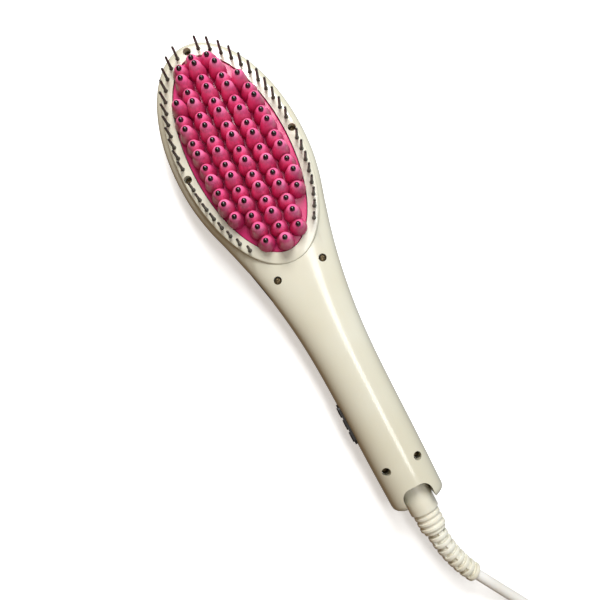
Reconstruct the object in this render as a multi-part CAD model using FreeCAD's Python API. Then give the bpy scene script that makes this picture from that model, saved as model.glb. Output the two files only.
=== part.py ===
"""Heated styling brush: a paddle head with a heated cone plate, a grip with keys and a swivelling mains lead.

The brush lies on its back with the cones up. +X runs from the nose to the cord, +Y to the plain flank and
+Z up. The origin lies on the resting plane, midway along the brush without its cord.
"""

import FreeCAD
import Part

import math
import os

Vector = FreeCAD.Vector
X_AXIS = Vector(1, 0, 0)
Y_AXIS = Vector(0, 1, 0)
Z_AXIS = Vector(0, 0, 1)

# Casing
body_length = 272.0
head_width = 73.8
nose_margin = 3.5
grip_width = 30.0
head_front = 26.0
grip_front = 29.0
parting_height = 14.5
back_arch = 2.0
rest_cut = 0.6
wall = 2.2
end_corner = 3.0
end_steps = 4
overrun = 5.0
touch = 0.01

# Roundness of the sections, as superellipse powers
head_front_power = 4.0
head_back_power = 2.5
grip_power = 2.3
section_steps = 12
exact_digits = 12

# Evenly spaced stations from the widest one to the end of the grip: share of the widening, of the rise of
# the front and of the arch of the back
grip_shares = (
    (1.000, 0.000, 0.000),
    (0.968, 0.002, 0.017),
    (0.850, 0.013, 0.082),
    (0.658, 0.049, 0.223),
    (0.477, 0.118, 0.419),
    (0.326, 0.234, 0.628),
    (0.209, 0.401, 0.817),
    (0.120, 0.587, 0.941),
    (0.062, 0.751, 0.971),
    (0.031, 0.870, 0.896),
    (0.015, 0.945, 0.696),
    (0.006, 0.981, 0.432),
    (-0.002, 0.994, 0.201),
    (-0.014, 0.991, 0.076),
    (-0.030, 0.980, 0.000),
)

# Raised band round the plate
plate_length = 116.2
plate_shift = 2.1
band_width = 6.4
band_margin = 3.7
band_height = 1.0
band_round = 0.8
band_lip = 3.2

# Heater plate and its cones
plate_gap = 0.35
plate_recess = 0.8
flange_width = 2.2
flange_thickness = 2.0
gasket_thickness = 0.8
cone_shift = -0.7
cone_pitch = 7.2
cone_rows = 16
column_pitch = 9.74
side_columns = 2
cone_foot_radius = 4.1
cone_top_radius = 1.7
cone_foot_margin = 0.3
rim_cone_height = 10.0
crown_cone_rise = 4.5
cone_row_step = 1.8
cone_draw_in = 2.5
column_keep_share = 0.8
bead_radius = 1.4
bead_lift = 0.3
bead_rings = 3
bead_top_angle = 78.0
repeat_sides = 8

# Guard bristles round the plate
guard_offset = 3.7
guard_pitch = 6.28
guard_places = 20
side_screw_place = 12
pin_length = 12.6
pin_foot_radius = 1.15
pin_foot_height = 1.6
pin_radius = 0.8
pin_tip_radius = 0.66
pin_tip_round = 0.3
pin_seat_depth = 1.8
pin_seat_gap = 0.05

# Screws that join the casing, all alike
screw_head_radius = 1.95
screw_head_height = 1.5
screw_shank_radius = 1.2
screw_length = 9.0
well_radius = 2.15
well_floor = 2.2
boss_radius = 3.4
boss_gap = 0.3
screw_gap = 0.2
pilot_gap = 0.02
pilot_spare = 0.6
neck_screw_behind = 11.2
neck_screw_out = 13.0
neck_seat_height = 23.2
grip_screw_back = 22.0
grip_screw_out = 8.8
grip_seat_height = 18.0
band_seat_height = 18.0

# Heater stack under the plate
heater_end_margin = 7.2
element_margin = 13.8
element_thickness = 1.2
insulator_thickness = 1.0
retainer_margin = 2.8
retainer_thickness = 1.2
post_share = 0.6
post_margin = 9.8
post_radius = 2.8
retainer_screw_radius = 1.15
retainer_screw_head_radius = 2.2
retainer_screw_head = 1.4
retainer_screw_bite = 1.6
fuse_radius = 2.0
fuse_length = 12.0
fuse_out = 8.0
sensor_radius = 1.5
sensor_length = 6.0

# Control board in the grip
board_behind = 23.8
board_end_back = 32.0
board_low = 6.4
board_high = 23.4
board_thickness = 1.6
board_rib_thickness = 2.4
board_rib_depth = 2.6
board_rib_reach = 4.0
board_slot_gap = 0.15
board_rib_inset = 14.0
switch_size = 6.0
switch_height = 3.5
plunger_radius = 1.7
plunger_height = 1.1
capacitor_span = (0.28, 0.45)
capacitor_depth = 6.0
capacitor_height = 11.0
triac_span = (0.49, 0.60)
triac_depth = 4.5
triac_height = 15.0
chip_span = (0.69, 0.79)
chip_depth = 1.6
chip_height = 9.0

# Keys and their bezel on the flank
bezel_back = 50.25
bezel_length = 22.3
bezel_height = 9.0
bezel_corner = 3.0
bezel_proud = 0.8
bezel_face = 1.6
bezel_depth = 5.0
bezel_rim = 1.0
bezel_hollow_corner = 0.8
bezel_flange = 1.2
bezel_flange_width = 1.2
bezel_gap = 0.1
key_pitch = 6.95
key_length = 5.2
key_height = 5.8
key_corner = 1.2
key_proud = 0.6
key_gap = 0.25
key_flange = 0.45
key_flange_thickness = 1.1
key_travel = 0.6
key_spare = 0.05

# Display window on the same flank
lens_behind = -1.2
lens_length = 21.4
lens_low = 4.2
lens_high = 4.2
lens_corner = 2.0
lens_thickness = 1.5
lens_sink = 0.25
lens_gap = 0.1
lens_ledge = 1.4
display_thickness = 2.0
display_gap = 0.2

# Swivelling collar and its contacts
collar_reach = 16.0
barrel_reach = 6.6
barrel_radius = 7.6
groove_radius = 5.4
collar_flange_radius = 7.2
collar_flange_length = 3.5
hub_radius = 3.4
hub_length = 6.5
collar_rib_radius = 6.9
collar_root_radius = 6.2
collar_ribs = 3
bulkhead_back = 14.0
bulkhead_thickness = 4.0
bulkhead_gap = 0.25
running_gap = 0.06
notch_depth = 9.8
notch_half_width = 7.9
notch_corner = 5.0
ring_radius = 4.2
ring_length = 1.5
ring_margin = 0.75
ring_pitch = 2.8
blade_thickness = 0.5
blade_length = 8.6
blade_width = 1.4
blade_gap = 0.1
block_length = 7.0
block_width = 9.2
block_seat = 3.0

# Wires inside
wire_radius = 0.8
wire_spacing = 2.6
heater_wire_height = 14.6
supply_wire_height = 6.5
wire_sag = 0.9
lead_reach_share = 0.17

# Strain relief, which bends towards +Y and droops a little
relief_length = 32.0
relief_bend_radius = 60.0
relief_droop_angle = 20.0
relief_root_radius = 5.9
relief_root_length = 2.0
relief_rib_radius = 5.4
relief_end_radius = 4.9
relief_rib_length = 1.9
relief_ribs = 8
relief_core_radius = 3.5
relief_web_width = 3.0
relief_web_sink = 0.4

# Mains lead: diameter, route from the end of the strain relief, coil, tie and plug
cord_diameter = 5.6
bend_share = 0.45
lead_steps = ((13.9, 7.77, -2.75), (27.5, 15.47, -6.95), (40.0, 22.57, -7.95), (51.3, 29.17, -7.95))
coil_radius = 43.5
coil_gap = 0.7
coil_half_turns = 8
coil_climb_inset = 1.5
coil_exit_angle = 16.0
tail_steps = ((-6.0, 0.0, 0.0), (-12.0, -0.2, -1.2), (-19.0, -0.5, -2.85), (-25.0, -0.6, -2.85))
tie_thickness = 0.5
tie_width = 6.0
tie_gap = 0.6
tie_angle = 20.0
plug_length = 36.0
plug_width = 26.0
plug_thickness = 13.7
plug_neck_width = 13.0
plug_neck_thickness = 10.6
plug_shoulder_share = 0.62
plug_corner = 2.4
plug_boot_length = 9.0
plug_boot_radius = 4.2
plug_pin_radius = 2.0
plug_pin_length = 19.0
plug_pin_spacing = 18.6
plug_pin_sink = 4.0
plug_stub_radius = 1.2
plug_stub_length = 0.5

# Worked out from the sizes above
nose_length = plate_length / 2 + band_width + nose_margin
nose_x = -(body_length + collar_reach) / 2
end_x = nose_x + body_length
widest_x = nose_x + nose_length
plate_x = widest_x + plate_shift
plate_end_x = plate_x + plate_length / 2
plate_width = head_width - 2 * (band_width + band_margin)
element_length = plate_length - 2 * heater_end_margin
element_width = plate_width - 2 * element_margin
retainer_width = plate_width - 2 * retainer_margin
board_start_x = plate_end_x + board_behind
board_end_x = end_x - board_end_back
bezel_x = end_x - bezel_back
bulkhead_x = end_x - bulkhead_back
band_front = head_front + band_height
ceiling = band_front - band_lip
plate_top = band_front - plate_recess
flange_top = ceiling - gasket_thickness
plate_back = flange_top - flange_thickness
element_back = plate_back - element_thickness
insulator_back = element_back - insulator_thickness
retainer_back = insulator_back - retainer_thickness
collar_end_x = end_x + collar_reach
cord_radius = cord_diameter / 2


def block(x_low, x_high, y_low, y_high, z_low, z_high):
    """Box between two corners."""
    return Part.makeBox(x_high - x_low, y_high - y_low, z_high - z_low, Vector(x_low, y_low, z_low))


def post(x, y, z_low, z_high, radius):
    """Upright cylinder."""
    return Part.makeCylinder(radius, z_high - z_low, Vector(x, y, z_low), Z_AXIS)


def rod(x_low, x_high, y, z, radius):
    """Cylinder along the brush."""
    return Part.makeCylinder(radius, x_high - x_low, Vector(x_low, y, z), X_AXIS)


def oval(half_length, half_width, z_low, z_high):
    """Upright oval block about the middle of the plate."""
    rim = Part.Ellipse(Vector(plate_x, 0, z_low), half_length, half_width)
    return Part.Face(Part.Wire(rim.toShape())).extrude(Vector(0, 0, z_high - z_low))


def plate_oval(offset, z_low, z_high):
    """Oval block whose edge lies outside the plate opening by an offset."""
    return oval(plate_length / 2 + offset, plate_width / 2 + offset, z_low, z_high)


def rounded_block(x_low, x_high, y_low, y_high, z_low, z_high, corner):
    """Box whose edges along Y are rounded."""
    body = block(x_low, x_high, y_low, y_high, z_low, z_high)
    edges = [edge for edge in body.Edges if abs(edge.tangentAt(edge.FirstParameter).y) > 1 - touch]
    return body.makeFillet(corner, edges)


def turned(profile, centre, axis):
    """Solid turned from a closed profile of points in a plane through the axis."""
    face = Part.Face(Part.makePolygon(profile + [profile[0]]))
    return face.revolve(centre, axis, 360)


def station_step():
    """Distance between two stations; the last one lies where the end starts to round."""
    return (end_x - end_corner - widest_x) / (len(grip_shares) - 1)


def grip_half_width(x):
    """Half width of the casing at a place between the widest station and the end."""
    run = (x - widest_x) / station_step()
    low = min(int(run), len(grip_shares) - 2)
    share = grip_shares[low][0] + (run - low) * (grip_shares[low + 1][0] - grip_shares[low][0])
    return grip_width / 2 + share * (head_width - grip_width) / 2


# Casing


def section_curve(x, half_width, rise, power, side):
    """Superelliptic half section over the front (side 1) or under the back (side -1), from +Y to -Y."""
    points = []
    for step in range(section_steps + 1):
        angle = math.pi * step / section_steps
        cosine = round(math.cos(angle), exact_digits)
        sine = round(math.sin(angle), exact_digits)
        across = math.copysign(abs(cosine) ** (2 / power), cosine)
        up = sine ** (2 / power)
        points.append(Vector(x, half_width * across, parting_height + side * rise * up))
    curve = Part.BSplineCurve()
    places = [step / section_steps for step in range(section_steps + 1)]
    start = Vector(0, 0, side * (points[1] - points[0]).Length * section_steps)
    curve.interpolate(Points=points, Parameters=places, InitialTangent=start, FinalTangent=-start)
    return curve


def station_curve(row, x, inset, side):
    """Front or back curve of one station at a place, set in from the skin."""
    width_share, front_share, arch_share = row
    narrow = grip_width / 2
    half_width = narrow + width_share * (head_width / 2 - narrow) - inset
    swell = max(width_share, 0)
    if side > 0:
        rise = head_front + front_share * (grip_front - head_front) - parting_height - inset
        power = grip_power + swell * (head_front_power - grip_power)
    else:
        rise = parting_height + rest_cut - arch_share * back_arch - inset
        power = grip_power + swell * (head_back_power - grip_power)
    return section_curve(x, half_width, rise, power, side)


def station_wire(row, x, inset, side):
    """Closed half section of one station at a place, set in from the skin."""
    curve = station_curve(row, x, inset, side)
    chord = Part.makeLine(curve.value(1), curve.value(0))
    return Part.Wire([curve.toShape(), chord])


def casing_half(inset, side):
    """Solid half of the casing: a nose turned about the widest station and a lofted neck and grip."""
    curve = station_curve(grip_shares[0], widest_x, inset, side)
    middle = Vector(widest_x, 0, parting_height)
    crown = Part.makeLine(curve.value(0.5), middle)
    chord = Part.makeLine(middle, curve.value(0))
    profile = Part.Face(Part.Wire([curve.toShape(0, 0.5), crown, chord]))
    nose = profile.revolve(middle, Z_AXIS, 180)
    stretch = FreeCAD.Matrix()
    stretch.move(-middle)
    stretch.scale(Vector((nose_length - inset) / (head_width / 2 - inset), 1, 1))
    stretch.move(middle)
    nose = nose.transformGeometry(stretch)
    wires = []
    for index, row in enumerate(grip_shares):
        wires.append(station_wire(row, widest_x + index * station_step(), inset, side))
    return nose.fuse(Part.makeLoft(wires, True))


def rounded_end(side):
    """Last stretch of one half of the grip, whose sections shrink along a quarter round."""
    wires = []
    for step in range(end_steps + 1):
        angle = math.pi / 2 * step / end_steps
        x = end_x - end_corner * (1 - math.sin(angle))
        wires.append(station_wire(grip_shares[-1], x, end_corner * (1 - math.cos(angle)), side))
    return Part.makeLoft(wires, True)


def front_skin():
    """Outer form of the front half with its band and rounded end."""
    band = plate_oval(band_width, parting_height, band_front)
    rim = [edge for edge in band.Edges if abs(edge.CenterOfMass.z - band_front) < touch]
    return casing_half(0, 1).fuse([rounded_end(1), band.makeFillet(band_round, rim)])


def back_skin():
    """Outer form of the back half with its rounded end and flattened rests."""
    reach = body_length
    body = casing_half(0, -1).fuse(rounded_end(-1))
    return body.cut(block(-reach, reach, -reach, reach, -reach, 0))


def guard_spots():
    """Places one pitch apart along one half of the guard oval, from the nose on."""
    half_length = plate_length / 2 + guard_offset
    half_width = plate_width / 2 + guard_offset
    spots = []
    angle = 0.0
    for place in range(guard_places + 1):
        back = half_length * math.cos(angle)
        spots.append(Vector(plate_x - back, half_width * math.sin(angle), band_front))
        middle = angle
        for pass_number in range(3):
            speed = math.hypot(half_length * math.sin(middle), half_width * math.cos(middle))
            middle = angle + guard_pitch / speed / 2
        angle = angle + guard_pitch / speed
    return spots


def screw_spots():
    """Places of the casing screws, each at the height of its head's seat."""
    spots = []
    for side in (-1, 1):
        spots.append(Vector(plate_end_x + neck_screw_behind, side * neck_screw_out, neck_seat_height))
        spots.append(Vector(end_x - grip_screw_back, side * grip_screw_out, grip_seat_height))
        guard = guard_spots()[side_screw_place]
        spots.append(Vector(guard.x, side * guard.y, band_seat_height))
    spots.append(Vector(guard_spots()[0].x, 0, band_seat_height))
    return spots


def board_place():
    """Y of the board's outer and inner faces, set by the switches under the keys."""
    stem = bezel_plane() + bezel_face + key_flange_thickness
    tip = stem + key_travel + key_spare
    outer = tip + plunger_height + switch_height
    return outer, outer + board_thickness


def bezel_plane():
    """Y of the bezel's outer face."""
    return -(grip_half_width(bezel_x) + bezel_proud)


def board_rib_places():
    """X of the ribs that hold the board's edges."""
    return board_start_x + board_rib_inset, board_end_x - board_rib_inset / 2


def board_ribs(skin, z_low, z_high, edge):
    """Slotted ribs for one edge of the board, grown from the casing's wall."""
    outer, inner = board_place()
    ribs = []
    for x in board_rib_places():
        half = board_rib_thickness / 2
        rib = block(x - half, x + half, outer - board_rib_reach, inner + board_rib_reach, z_low, z_high)
        ribs.append(rib.common(skin))
    gap = board_slot_gap
    slot = block(nose_x, end_x, outer - gap, inner + gap, min(edge, board_low), max(edge, board_high))
    return [rib.cut(slot) for rib in ribs]


def bulkhead(skin):
    """Cross wall that carries the swivelling collar."""
    x = bulkhead_x
    reach = grip_width
    plate = block(x, x + bulkhead_thickness, -reach, reach, -reach, reach + parting_height)
    bore = rod(x - overrun, x + bulkhead_thickness + overrun, 0, parting_height, groove_radius + running_gap)
    return plate.common(skin).cut(bore)


def bezel_cuts():
    """Window for the bezel and the flat seat of its flange."""
    x = bezel_x
    half_length = bezel_length / 2 + bezel_gap
    half_height = bezel_height / 2 + bezel_gap
    plane = bezel_plane()
    seat = plane + bezel_depth - bezel_flange
    low = parting_height - half_height
    high = parting_height + half_height
    window = rounded_block(x - half_length, x + half_length, plane - overrun, seat, low, high, bezel_corner)
    rim = bezel_flange_width
    pocket = rounded_block(x - half_length - rim, x + half_length + rim, seat, seat + bezel_depth,
                           low - rim, high + rim, bezel_corner + rim)
    return window.fuse(pocket)


def lens_frame():
    """Middle of the lens on the flank and the turn that lays it along the flank."""
    start_x = plate_end_x + lens_behind
    start = grip_half_width(start_x)
    finish = grip_half_width(start_x + lens_length)
    turn = math.degrees(math.atan2(start - finish, lens_length))
    return Vector(start_x + lens_length / 2, -(start + finish) / 2, parting_height), turn


def placed_on_flank(shape):
    """Shape drawn about the lens's middle with +Y inwards, laid on the flank."""
    middle, turn = lens_frame()
    shape = shape.copy()
    shape.rotate(Vector(0, 0, 0), Z_AXIS, turn)
    return shape.translated(middle)


def lens_block(grow, depth_low, depth_high):
    """Block with cut corners in the outline of the lens, grown by a margin."""
    half = lens_length / 2 + grow
    low = -lens_low - grow
    high = lens_high + grow
    cut = lens_corner
    outline = (
        (cut - half, low), (half - cut, low), (half, low + cut), (half, high - cut),
        (half - cut, high), (cut - half, high), (-half, high - cut), (-half, low + cut),
    )
    corners = [Vector(x, depth_low, z) for x, z in outline]
    face = Part.Face(Part.makePolygon(corners + [corners[0]]))
    return placed_on_flank(face.extrude(Vector(0, depth_high - depth_low, 0)))


def lens_cuts():
    """Pocket for the lens and the smaller opening behind it."""
    pocket = lens_block(lens_gap, -overrun, lens_sink + lens_thickness)
    return pocket, lens_block(-lens_ledge, -overrun, overrun + lens_thickness)


def collar_notch():
    """Rounded notch over the collar, open at the end of the grip and upwards."""
    x = end_x - notch_depth
    body = block(x, end_x + notch_depth, -notch_half_width, notch_half_width, parting_height, head_width)
    edges = []
    for edge in body.Edges:
        upright = abs(edge.tangentAt(edge.FirstParameter).z) > 1 - touch
        if upright and edge.CenterOfMass.x < end_x:
            edges.append(edge)
    return body.makeFillet(notch_corner, edges)


def front_shell(skin):
    """Front half of the casing."""
    shell = skin.cut(casing_half(wall, 1))
    shell = shell.cut(plate_oval(flange_width + plate_gap, parting_height, ceiling))
    grown = [bulkhead(skin)]
    grown += board_ribs(skin, board_high - board_rib_depth, grip_front, board_low)
    holes = []
    for spot in screw_spots():
        floor = spot.z - well_floor
        grown.append(post(spot.x, spot.y, floor, head_width, boss_radius).common(skin))
        holes.append(post(spot.x, spot.y, spot.z, head_width, well_radius))
        holes.append(post(spot.x, spot.y, floor - overrun, spot.z, screw_shank_radius + screw_gap))
    for spot in pin_spots():
        seat = pin_radius + pin_seat_gap
        holes.append(post(spot.x, spot.y, spot.z - pin_seat_depth, spot.z + overrun, seat))
    shell = shell.fuse(grown).cut(plate_oval(0, parting_height, band_front + overrun))
    shell = shell.cut(Part.makeCompound(holes))
    for tool in (bezel_cuts(), *lens_cuts(), collar_notch()):
        shell = shell.cut(tool)
    return shell


def back_shell(skin):
    """Back half of the casing."""
    shell = skin.cut(casing_half(wall, -1))
    half_width = block_width / 2
    seat_low, seat_high = contact_block_span()
    grown = [bulkhead(skin)]
    grown += board_ribs(skin, 0, board_low + board_rib_depth, board_high)
    grown.append(block(seat_low, seat_high, -half_width, half_width, 0, block_seat).common(skin))
    holes = []
    for spot in screw_spots():
        top = spot.z - well_floor
        grown.append(post(spot.x, spot.y, -overrun, parting_height, boss_radius).common(skin))
        grown.append(post(spot.x, spot.y, parting_height, top, boss_radius))
        bottom = spot.z - screw_length - pilot_spare
        holes.append(post(spot.x, spot.y, bottom, top + overrun, screw_shank_radius + pilot_gap))
    shell = shell.fuse(grown).removeSplitter().cut(Part.makeCompound(holes))
    bore_low = bulkhead_x + bulkhead_thickness
    bore = rod(bore_low, end_x + overrun, 0, parting_height, notch_half_width)
    for tool in (bezel_cuts(), *lens_cuts(), bore):
        shell = shell.cut(tool)
    return shell


def case_screws():
    """Pan-headed screws in the wells."""
    screws = []
    for spot in screw_spots():
        head = post(spot.x, spot.y, spot.z, spot.z + screw_head_height, screw_head_radius)
        shank = post(spot.x, spot.y, spot.z - screw_length, spot.z, screw_shank_radius)
        screws.append(head.fuse(shank).removeSplitter())
    return Part.makeCompound(screws)


# Heated face


def cone_spots():
    """Foot and height of each cone: staggered columns that draw in along the plate's edge, rows high and low."""
    half_length = plate_length / 2
    half_width = plate_width / 2
    foot = cone_foot_radius + cone_foot_margin + plate_gap
    spots = []
    for column in range(-side_columns, side_columns + 1):
        for row in range(cone_rows):
            offset = cone_pitch / 2 if column % 2 else 0
            x = plate_x + cone_shift + (row - (cone_rows - 1) / 2) * cone_pitch + offset
            run = abs(x - plate_x)
            if run + foot > half_length + cone_draw_in:
                continue
            run = min(run, half_length - foot)
            x = math.copysign(run, x - plate_x) + plate_x
            reach = half_width * math.sqrt(1 - (run / half_length) ** 2) - foot
            out = abs(column) * column_pitch
            if reach < column_keep_share * out:
                continue
            y = math.copysign(min(out, reach), column)
            crown = 1 - (run / half_length) ** 2 - (y / half_width) ** 2
            step = cone_row_step if row % 2 else -cone_row_step
            spots.append((x, y, rim_cone_height + crown_cone_rise * crown + step))
    return spots


def retainer_posts():
    """Places of the posts that carry the retainer."""
    run = post_share * element_length / 2
    out = plate_width / 2 - post_margin
    return [(plate_x + a * run, b * out) for a in (-1, 1) for b in (-1, 1)]


def flange_scallops(z_low, z_high):
    """Room round the casing's screw bosses for the plate's flange."""
    return Part.makeCompound([post(spot.x, spot.y, z_low, z_high, boss_radius + boss_gap)
                              for spot in screw_spots()])


def heater_plate():
    """Cast plate: land, flange, cones and the posts behind."""
    land = plate_oval(-plate_gap, plate_back, plate_top)
    flange = plate_oval(flange_width, plate_back, flange_top)
    flange = flange.cut(flange_scallops(plate_back - overrun, flange_top + overrun))
    grown = [flange]
    for x, y, height in cone_spots():
        grown.append(Part.makeCone(cone_foot_radius, cone_top_radius, height, Vector(x, y, plate_top)))
    for x, y in retainer_posts():
        grown.append(post(x, y, insulator_back, plate_back, post_radius))
    plate = land.fuse(grown).removeSplitter()
    holes = []
    for x, y in retainer_posts():
        holes.append(post(x, y, insulator_back - overrun, plate_back + retainer_screw_bite,
                          retainer_screw_radius + pilot_gap))
    return plate.cut(Part.makeCompound(holes))


def flat_sided(rings):
    """Upright flat-sided solid through rings given as radius and height."""
    wires = []
    for radius, height in rings:
        corners = []
        for side in range(repeat_sides):
            angle = 2 * math.pi * side / repeat_sides
            corners.append(Vector(radius * math.cos(angle), radius * math.sin(angle), height))
        wires.append(Part.makePolygon(corners + corners[:1]))
    return Part.makeLoft(wires, True, True)


def cone_tips():
    """Bead on the flat top of each cone."""
    low = -math.asin(bead_lift / bead_radius)
    high = math.radians(bead_top_angle)
    rings = []
    for ring in range(bead_rings + 1):
        angle = low + (high - low) * ring / bead_rings
        rings.append((bead_radius * math.cos(angle), bead_lift + bead_radius * math.sin(angle)))
    bead = flat_sided(rings)
    return Part.makeCompound([bead.translated(Vector(x, y, plate_top + height))
                              for x, y, height in cone_spots()])


def pin_spots():
    """Places of the guard bristles on both sides, leaving out the screw wells."""
    spots = []
    for place, spot in enumerate(guard_spots()):
        if place in (0, side_screw_place):
            continue
        spots.append(spot)
        spots.append(Vector(spot.x, -spot.y, spot.z))
    return spots


def guard_bristles():
    """Tapered pins with flared feet, each seated in the band."""
    seat = flat_sided([(pin_radius, -pin_seat_depth), (pin_radius, 0)])
    shaft = flat_sided([
        (pin_foot_radius, 0),
        (pin_radius, pin_foot_height),
        (pin_tip_radius, pin_length - pin_tip_round),
        (pin_tip_radius - pin_tip_round, pin_length),
    ])
    pin = seat.fuse(shaft).removeSplitter()
    return Part.makeCompound([pin.translated(spot) for spot in pin_spots()])


def plate_gasket():
    """Heat-proof ring between the flange and the casing."""
    ring = plate_oval(flange_width, flange_top, ceiling)
    ring = ring.cut(plate_oval(-plate_gap + pilot_gap, flange_top - overrun, ceiling + overrun))
    return ring.cut(flange_scallops(flange_top - overrun, ceiling + overrun))


def heater_sheet(length, width, z_low, z_high):
    """Oval sheet of the heater stack."""
    return oval(length / 2, width / 2, z_low, z_high)


def heater_retainer():
    """Plate that presses the element to the cast plate."""
    sheet = heater_sheet(element_length, retainer_width, retainer_back, insulator_back)
    holes = []
    for x, y in retainer_posts():
        holes.append(post(x, y, retainer_back - overrun, insulator_back + overrun,
                          retainer_screw_radius + screw_gap))
    return sheet.cut(Part.makeCompound(holes))


def retainer_screws():
    """Screws from the retainer into the posts."""
    screws = []
    for x, y in retainer_posts():
        head = post(x, y, retainer_back - retainer_screw_head, retainer_back, retainer_screw_head_radius)
        shank = post(x, y, retainer_back, plate_back + retainer_screw_bite, retainer_screw_radius)
        screws.append(head.fuse(shank).removeSplitter())
    return Part.makeCompound(screws)


def thermal_fuse():
    """Round fuse against the retainer's back."""
    return rod(plate_x, plate_x + fuse_length, fuse_out, retainer_back - fuse_radius, fuse_radius)


def temperature_sensor():
    """Small round sensor against the retainer's back."""
    return rod(plate_x, plate_x + sensor_length, -fuse_out, retainer_back - sensor_radius, sensor_radius)


# Controls


def control_board():
    """Upright board along the grip."""
    outer, inner = board_place()
    return block(board_start_x, board_end_x, outer, inner, board_low, board_high)


def key_places():
    """X of the three keys, from the neck to the cord."""
    return bezel_x - key_pitch, bezel_x, bezel_x + key_pitch


def tact_switches():
    """Switch with a round plunger behind each key."""
    outer = board_place()[0]
    half = switch_size / 2
    switches = []
    for x in key_places():
        body = block(x - half, x + half, outer - switch_height, outer,
                     parting_height - half, parting_height + half)
        tip = Vector(x, outer - switch_height - plunger_height, parting_height)
        plunger = Part.makeCylinder(plunger_radius, plunger_height, tip, Y_AXIS)
        switches.append(body.fuse(plunger).removeSplitter())
    return Part.makeCompound(switches)


def board_components():
    """Film capacitor, power switch and controller on the board's inner face."""
    inner = board_place()[1]
    middle = (board_low + board_high) / 2
    parts = []
    for span, depth, height in (
        (capacitor_span, capacitor_depth, capacitor_height),
        (triac_span, triac_depth, triac_height),
        (chip_span, chip_depth, chip_height),
    ):
        start, finish = [board_start_x + share * (board_end_x - board_start_x) for share in span]
        low = middle - height / 2
        parts.append(block(start, finish, inner, inner + depth, low, low + height))
    return Part.makeCompound(parts)


def key_bezel():
    """Dark strip with a window for each key, a hollow back and a flange behind the wall."""
    x = bezel_x
    half_length = bezel_length / 2
    half_height = bezel_height / 2
    low = parting_height - half_height
    high = parting_height + half_height
    plane = bezel_plane()
    back = plane + bezel_depth
    body = rounded_block(x - half_length, x + half_length, plane, back, low, high, bezel_corner)
    rim = bezel_flange_width
    flange = rounded_block(x - half_length - rim, x + half_length + rim, back - bezel_flange, back,
                           low - rim, high + rim, bezel_corner + rim)
    bezel = body.fuse(flange)
    rim = bezel_rim
    hollow = rounded_block(x - half_length + rim, x + half_length - rim, plane + bezel_face, back + overrun,
                           low + rim, high - rim, bezel_hollow_corner)
    bezel = bezel.cut(hollow)
    for place in key_places():
        bezel = bezel.cut(key_prism(place, plane - overrun, back, key_gap))
    return bezel


def key_prism(x, y_low, y_high, grow):
    """Rounded block in the outline of a key, grown by a margin."""
    half_length = key_length / 2 + grow
    half_height = key_height / 2 + grow
    return rounded_block(x - half_length, x + half_length, y_low, y_high,
                         parting_height - half_height, parting_height + half_height, key_corner)


def key(x):
    """Key cap with a flange that stops it behind the bezel's face."""
    plane = bezel_plane()
    stop = plane + bezel_face
    cap = key_prism(x, plane - key_proud, stop, 0)
    rim = [edge for edge in cap.Edges if abs(edge.CenterOfMass.y - plane + key_proud) < touch]
    cap = cap.makeFillet(key_proud / 2, rim)
    return cap.fuse(key_prism(x, stop, stop + key_flange_thickness, key_flange)).removeSplitter()


def display_lens():
    """Flat window in the pocket of the flank."""
    return lens_block(0, lens_sink, lens_sink + lens_thickness)


def display_module():
    """Flat display on the lens's back, in the opening behind it."""
    back = lens_sink + lens_thickness
    return lens_block(-lens_ledge - display_gap, back, back + display_thickness)


# Swivelling cord outlet


def collar_stations():
    """X of the hub's start, the flange's two faces, the barrel's start and the rings' start."""
    groove_low = bulkhead_x - bulkhead_gap
    groove_high = bulkhead_x + bulkhead_thickness + bulkhead_gap
    flange_low = groove_low - collar_flange_length
    return flange_low - hub_length, flange_low, groove_low, groove_high, end_x + barrel_reach


def swivel_collar():
    """Collar turned in one piece: hub, flange, running groove, barrel and ring ribs."""
    hub_x, flange_x, groove_x, barrel_x, ribs_x = collar_stations()
    steps = [
        (hub_x, 0), (hub_x, hub_radius), (flange_x, hub_radius), (flange_x, collar_flange_radius),
        (groove_x, collar_flange_radius), (groove_x, groove_radius), (barrel_x, groove_radius),
        (barrel_x, barrel_radius),
    ]
    pitch = (collar_end_x - ribs_x) / (2 * collar_ribs)
    x = ribs_x
    steps.append((x, barrel_radius))
    for rib in range(collar_ribs):
        steps += [(x, collar_root_radius), (x + pitch, collar_root_radius), (x + pitch, collar_rib_radius)]
        x = x + 2 * pitch
        steps.append((x, collar_rib_radius))
    steps.append((collar_end_x, 0))
    profile = [Vector(x, 0, parting_height + radius) for x, radius in steps]
    return turned(profile, Vector(0, 0, parting_height), X_AXIS)


def ring_places():
    """X of the middle of each slip ring."""
    first = collar_stations()[0] + ring_margin + ring_length / 2
    return first, first + ring_pitch


def slip_rings():
    """Brass rings on the collar's hub."""
    rings = []
    for x in ring_places():
        half = ring_length / 2
        ring = rod(x - half, x + half, 0, parting_height, ring_radius)
        rings.append(ring.cut(rod(x - half - overrun, x + half + overrun, 0, parting_height, hub_radius)))
    return Part.makeCompound(rings)


def contact_block_span():
    """X of the two ends of the contact block, under the slip rings."""
    first, second = ring_places()
    middle = (first + second) / 2
    return middle - block_length / 2, middle + block_length / 2


def blade_height():
    """Z of the blades' upper faces, just under the slip rings."""
    return parting_height - ring_radius - blade_gap


def contact_block():
    """Insulating block on the back shell that carries the blades."""
    low, high = contact_block_span()
    return block(low, high, -block_width / 2, block_width / 2, block_seat, blade_height() - blade_thickness)


def contact_blades():
    """Brass strips that press on the slip rings."""
    top = blade_height()
    blades = []
    for x in ring_places():
        half = blade_width / 2
        reach = blade_length / 2
        blades.append(block(x - half, x + half, -reach, reach, top - blade_thickness, top))
    return Part.makeCompound(blades)


# Wires and cord


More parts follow.
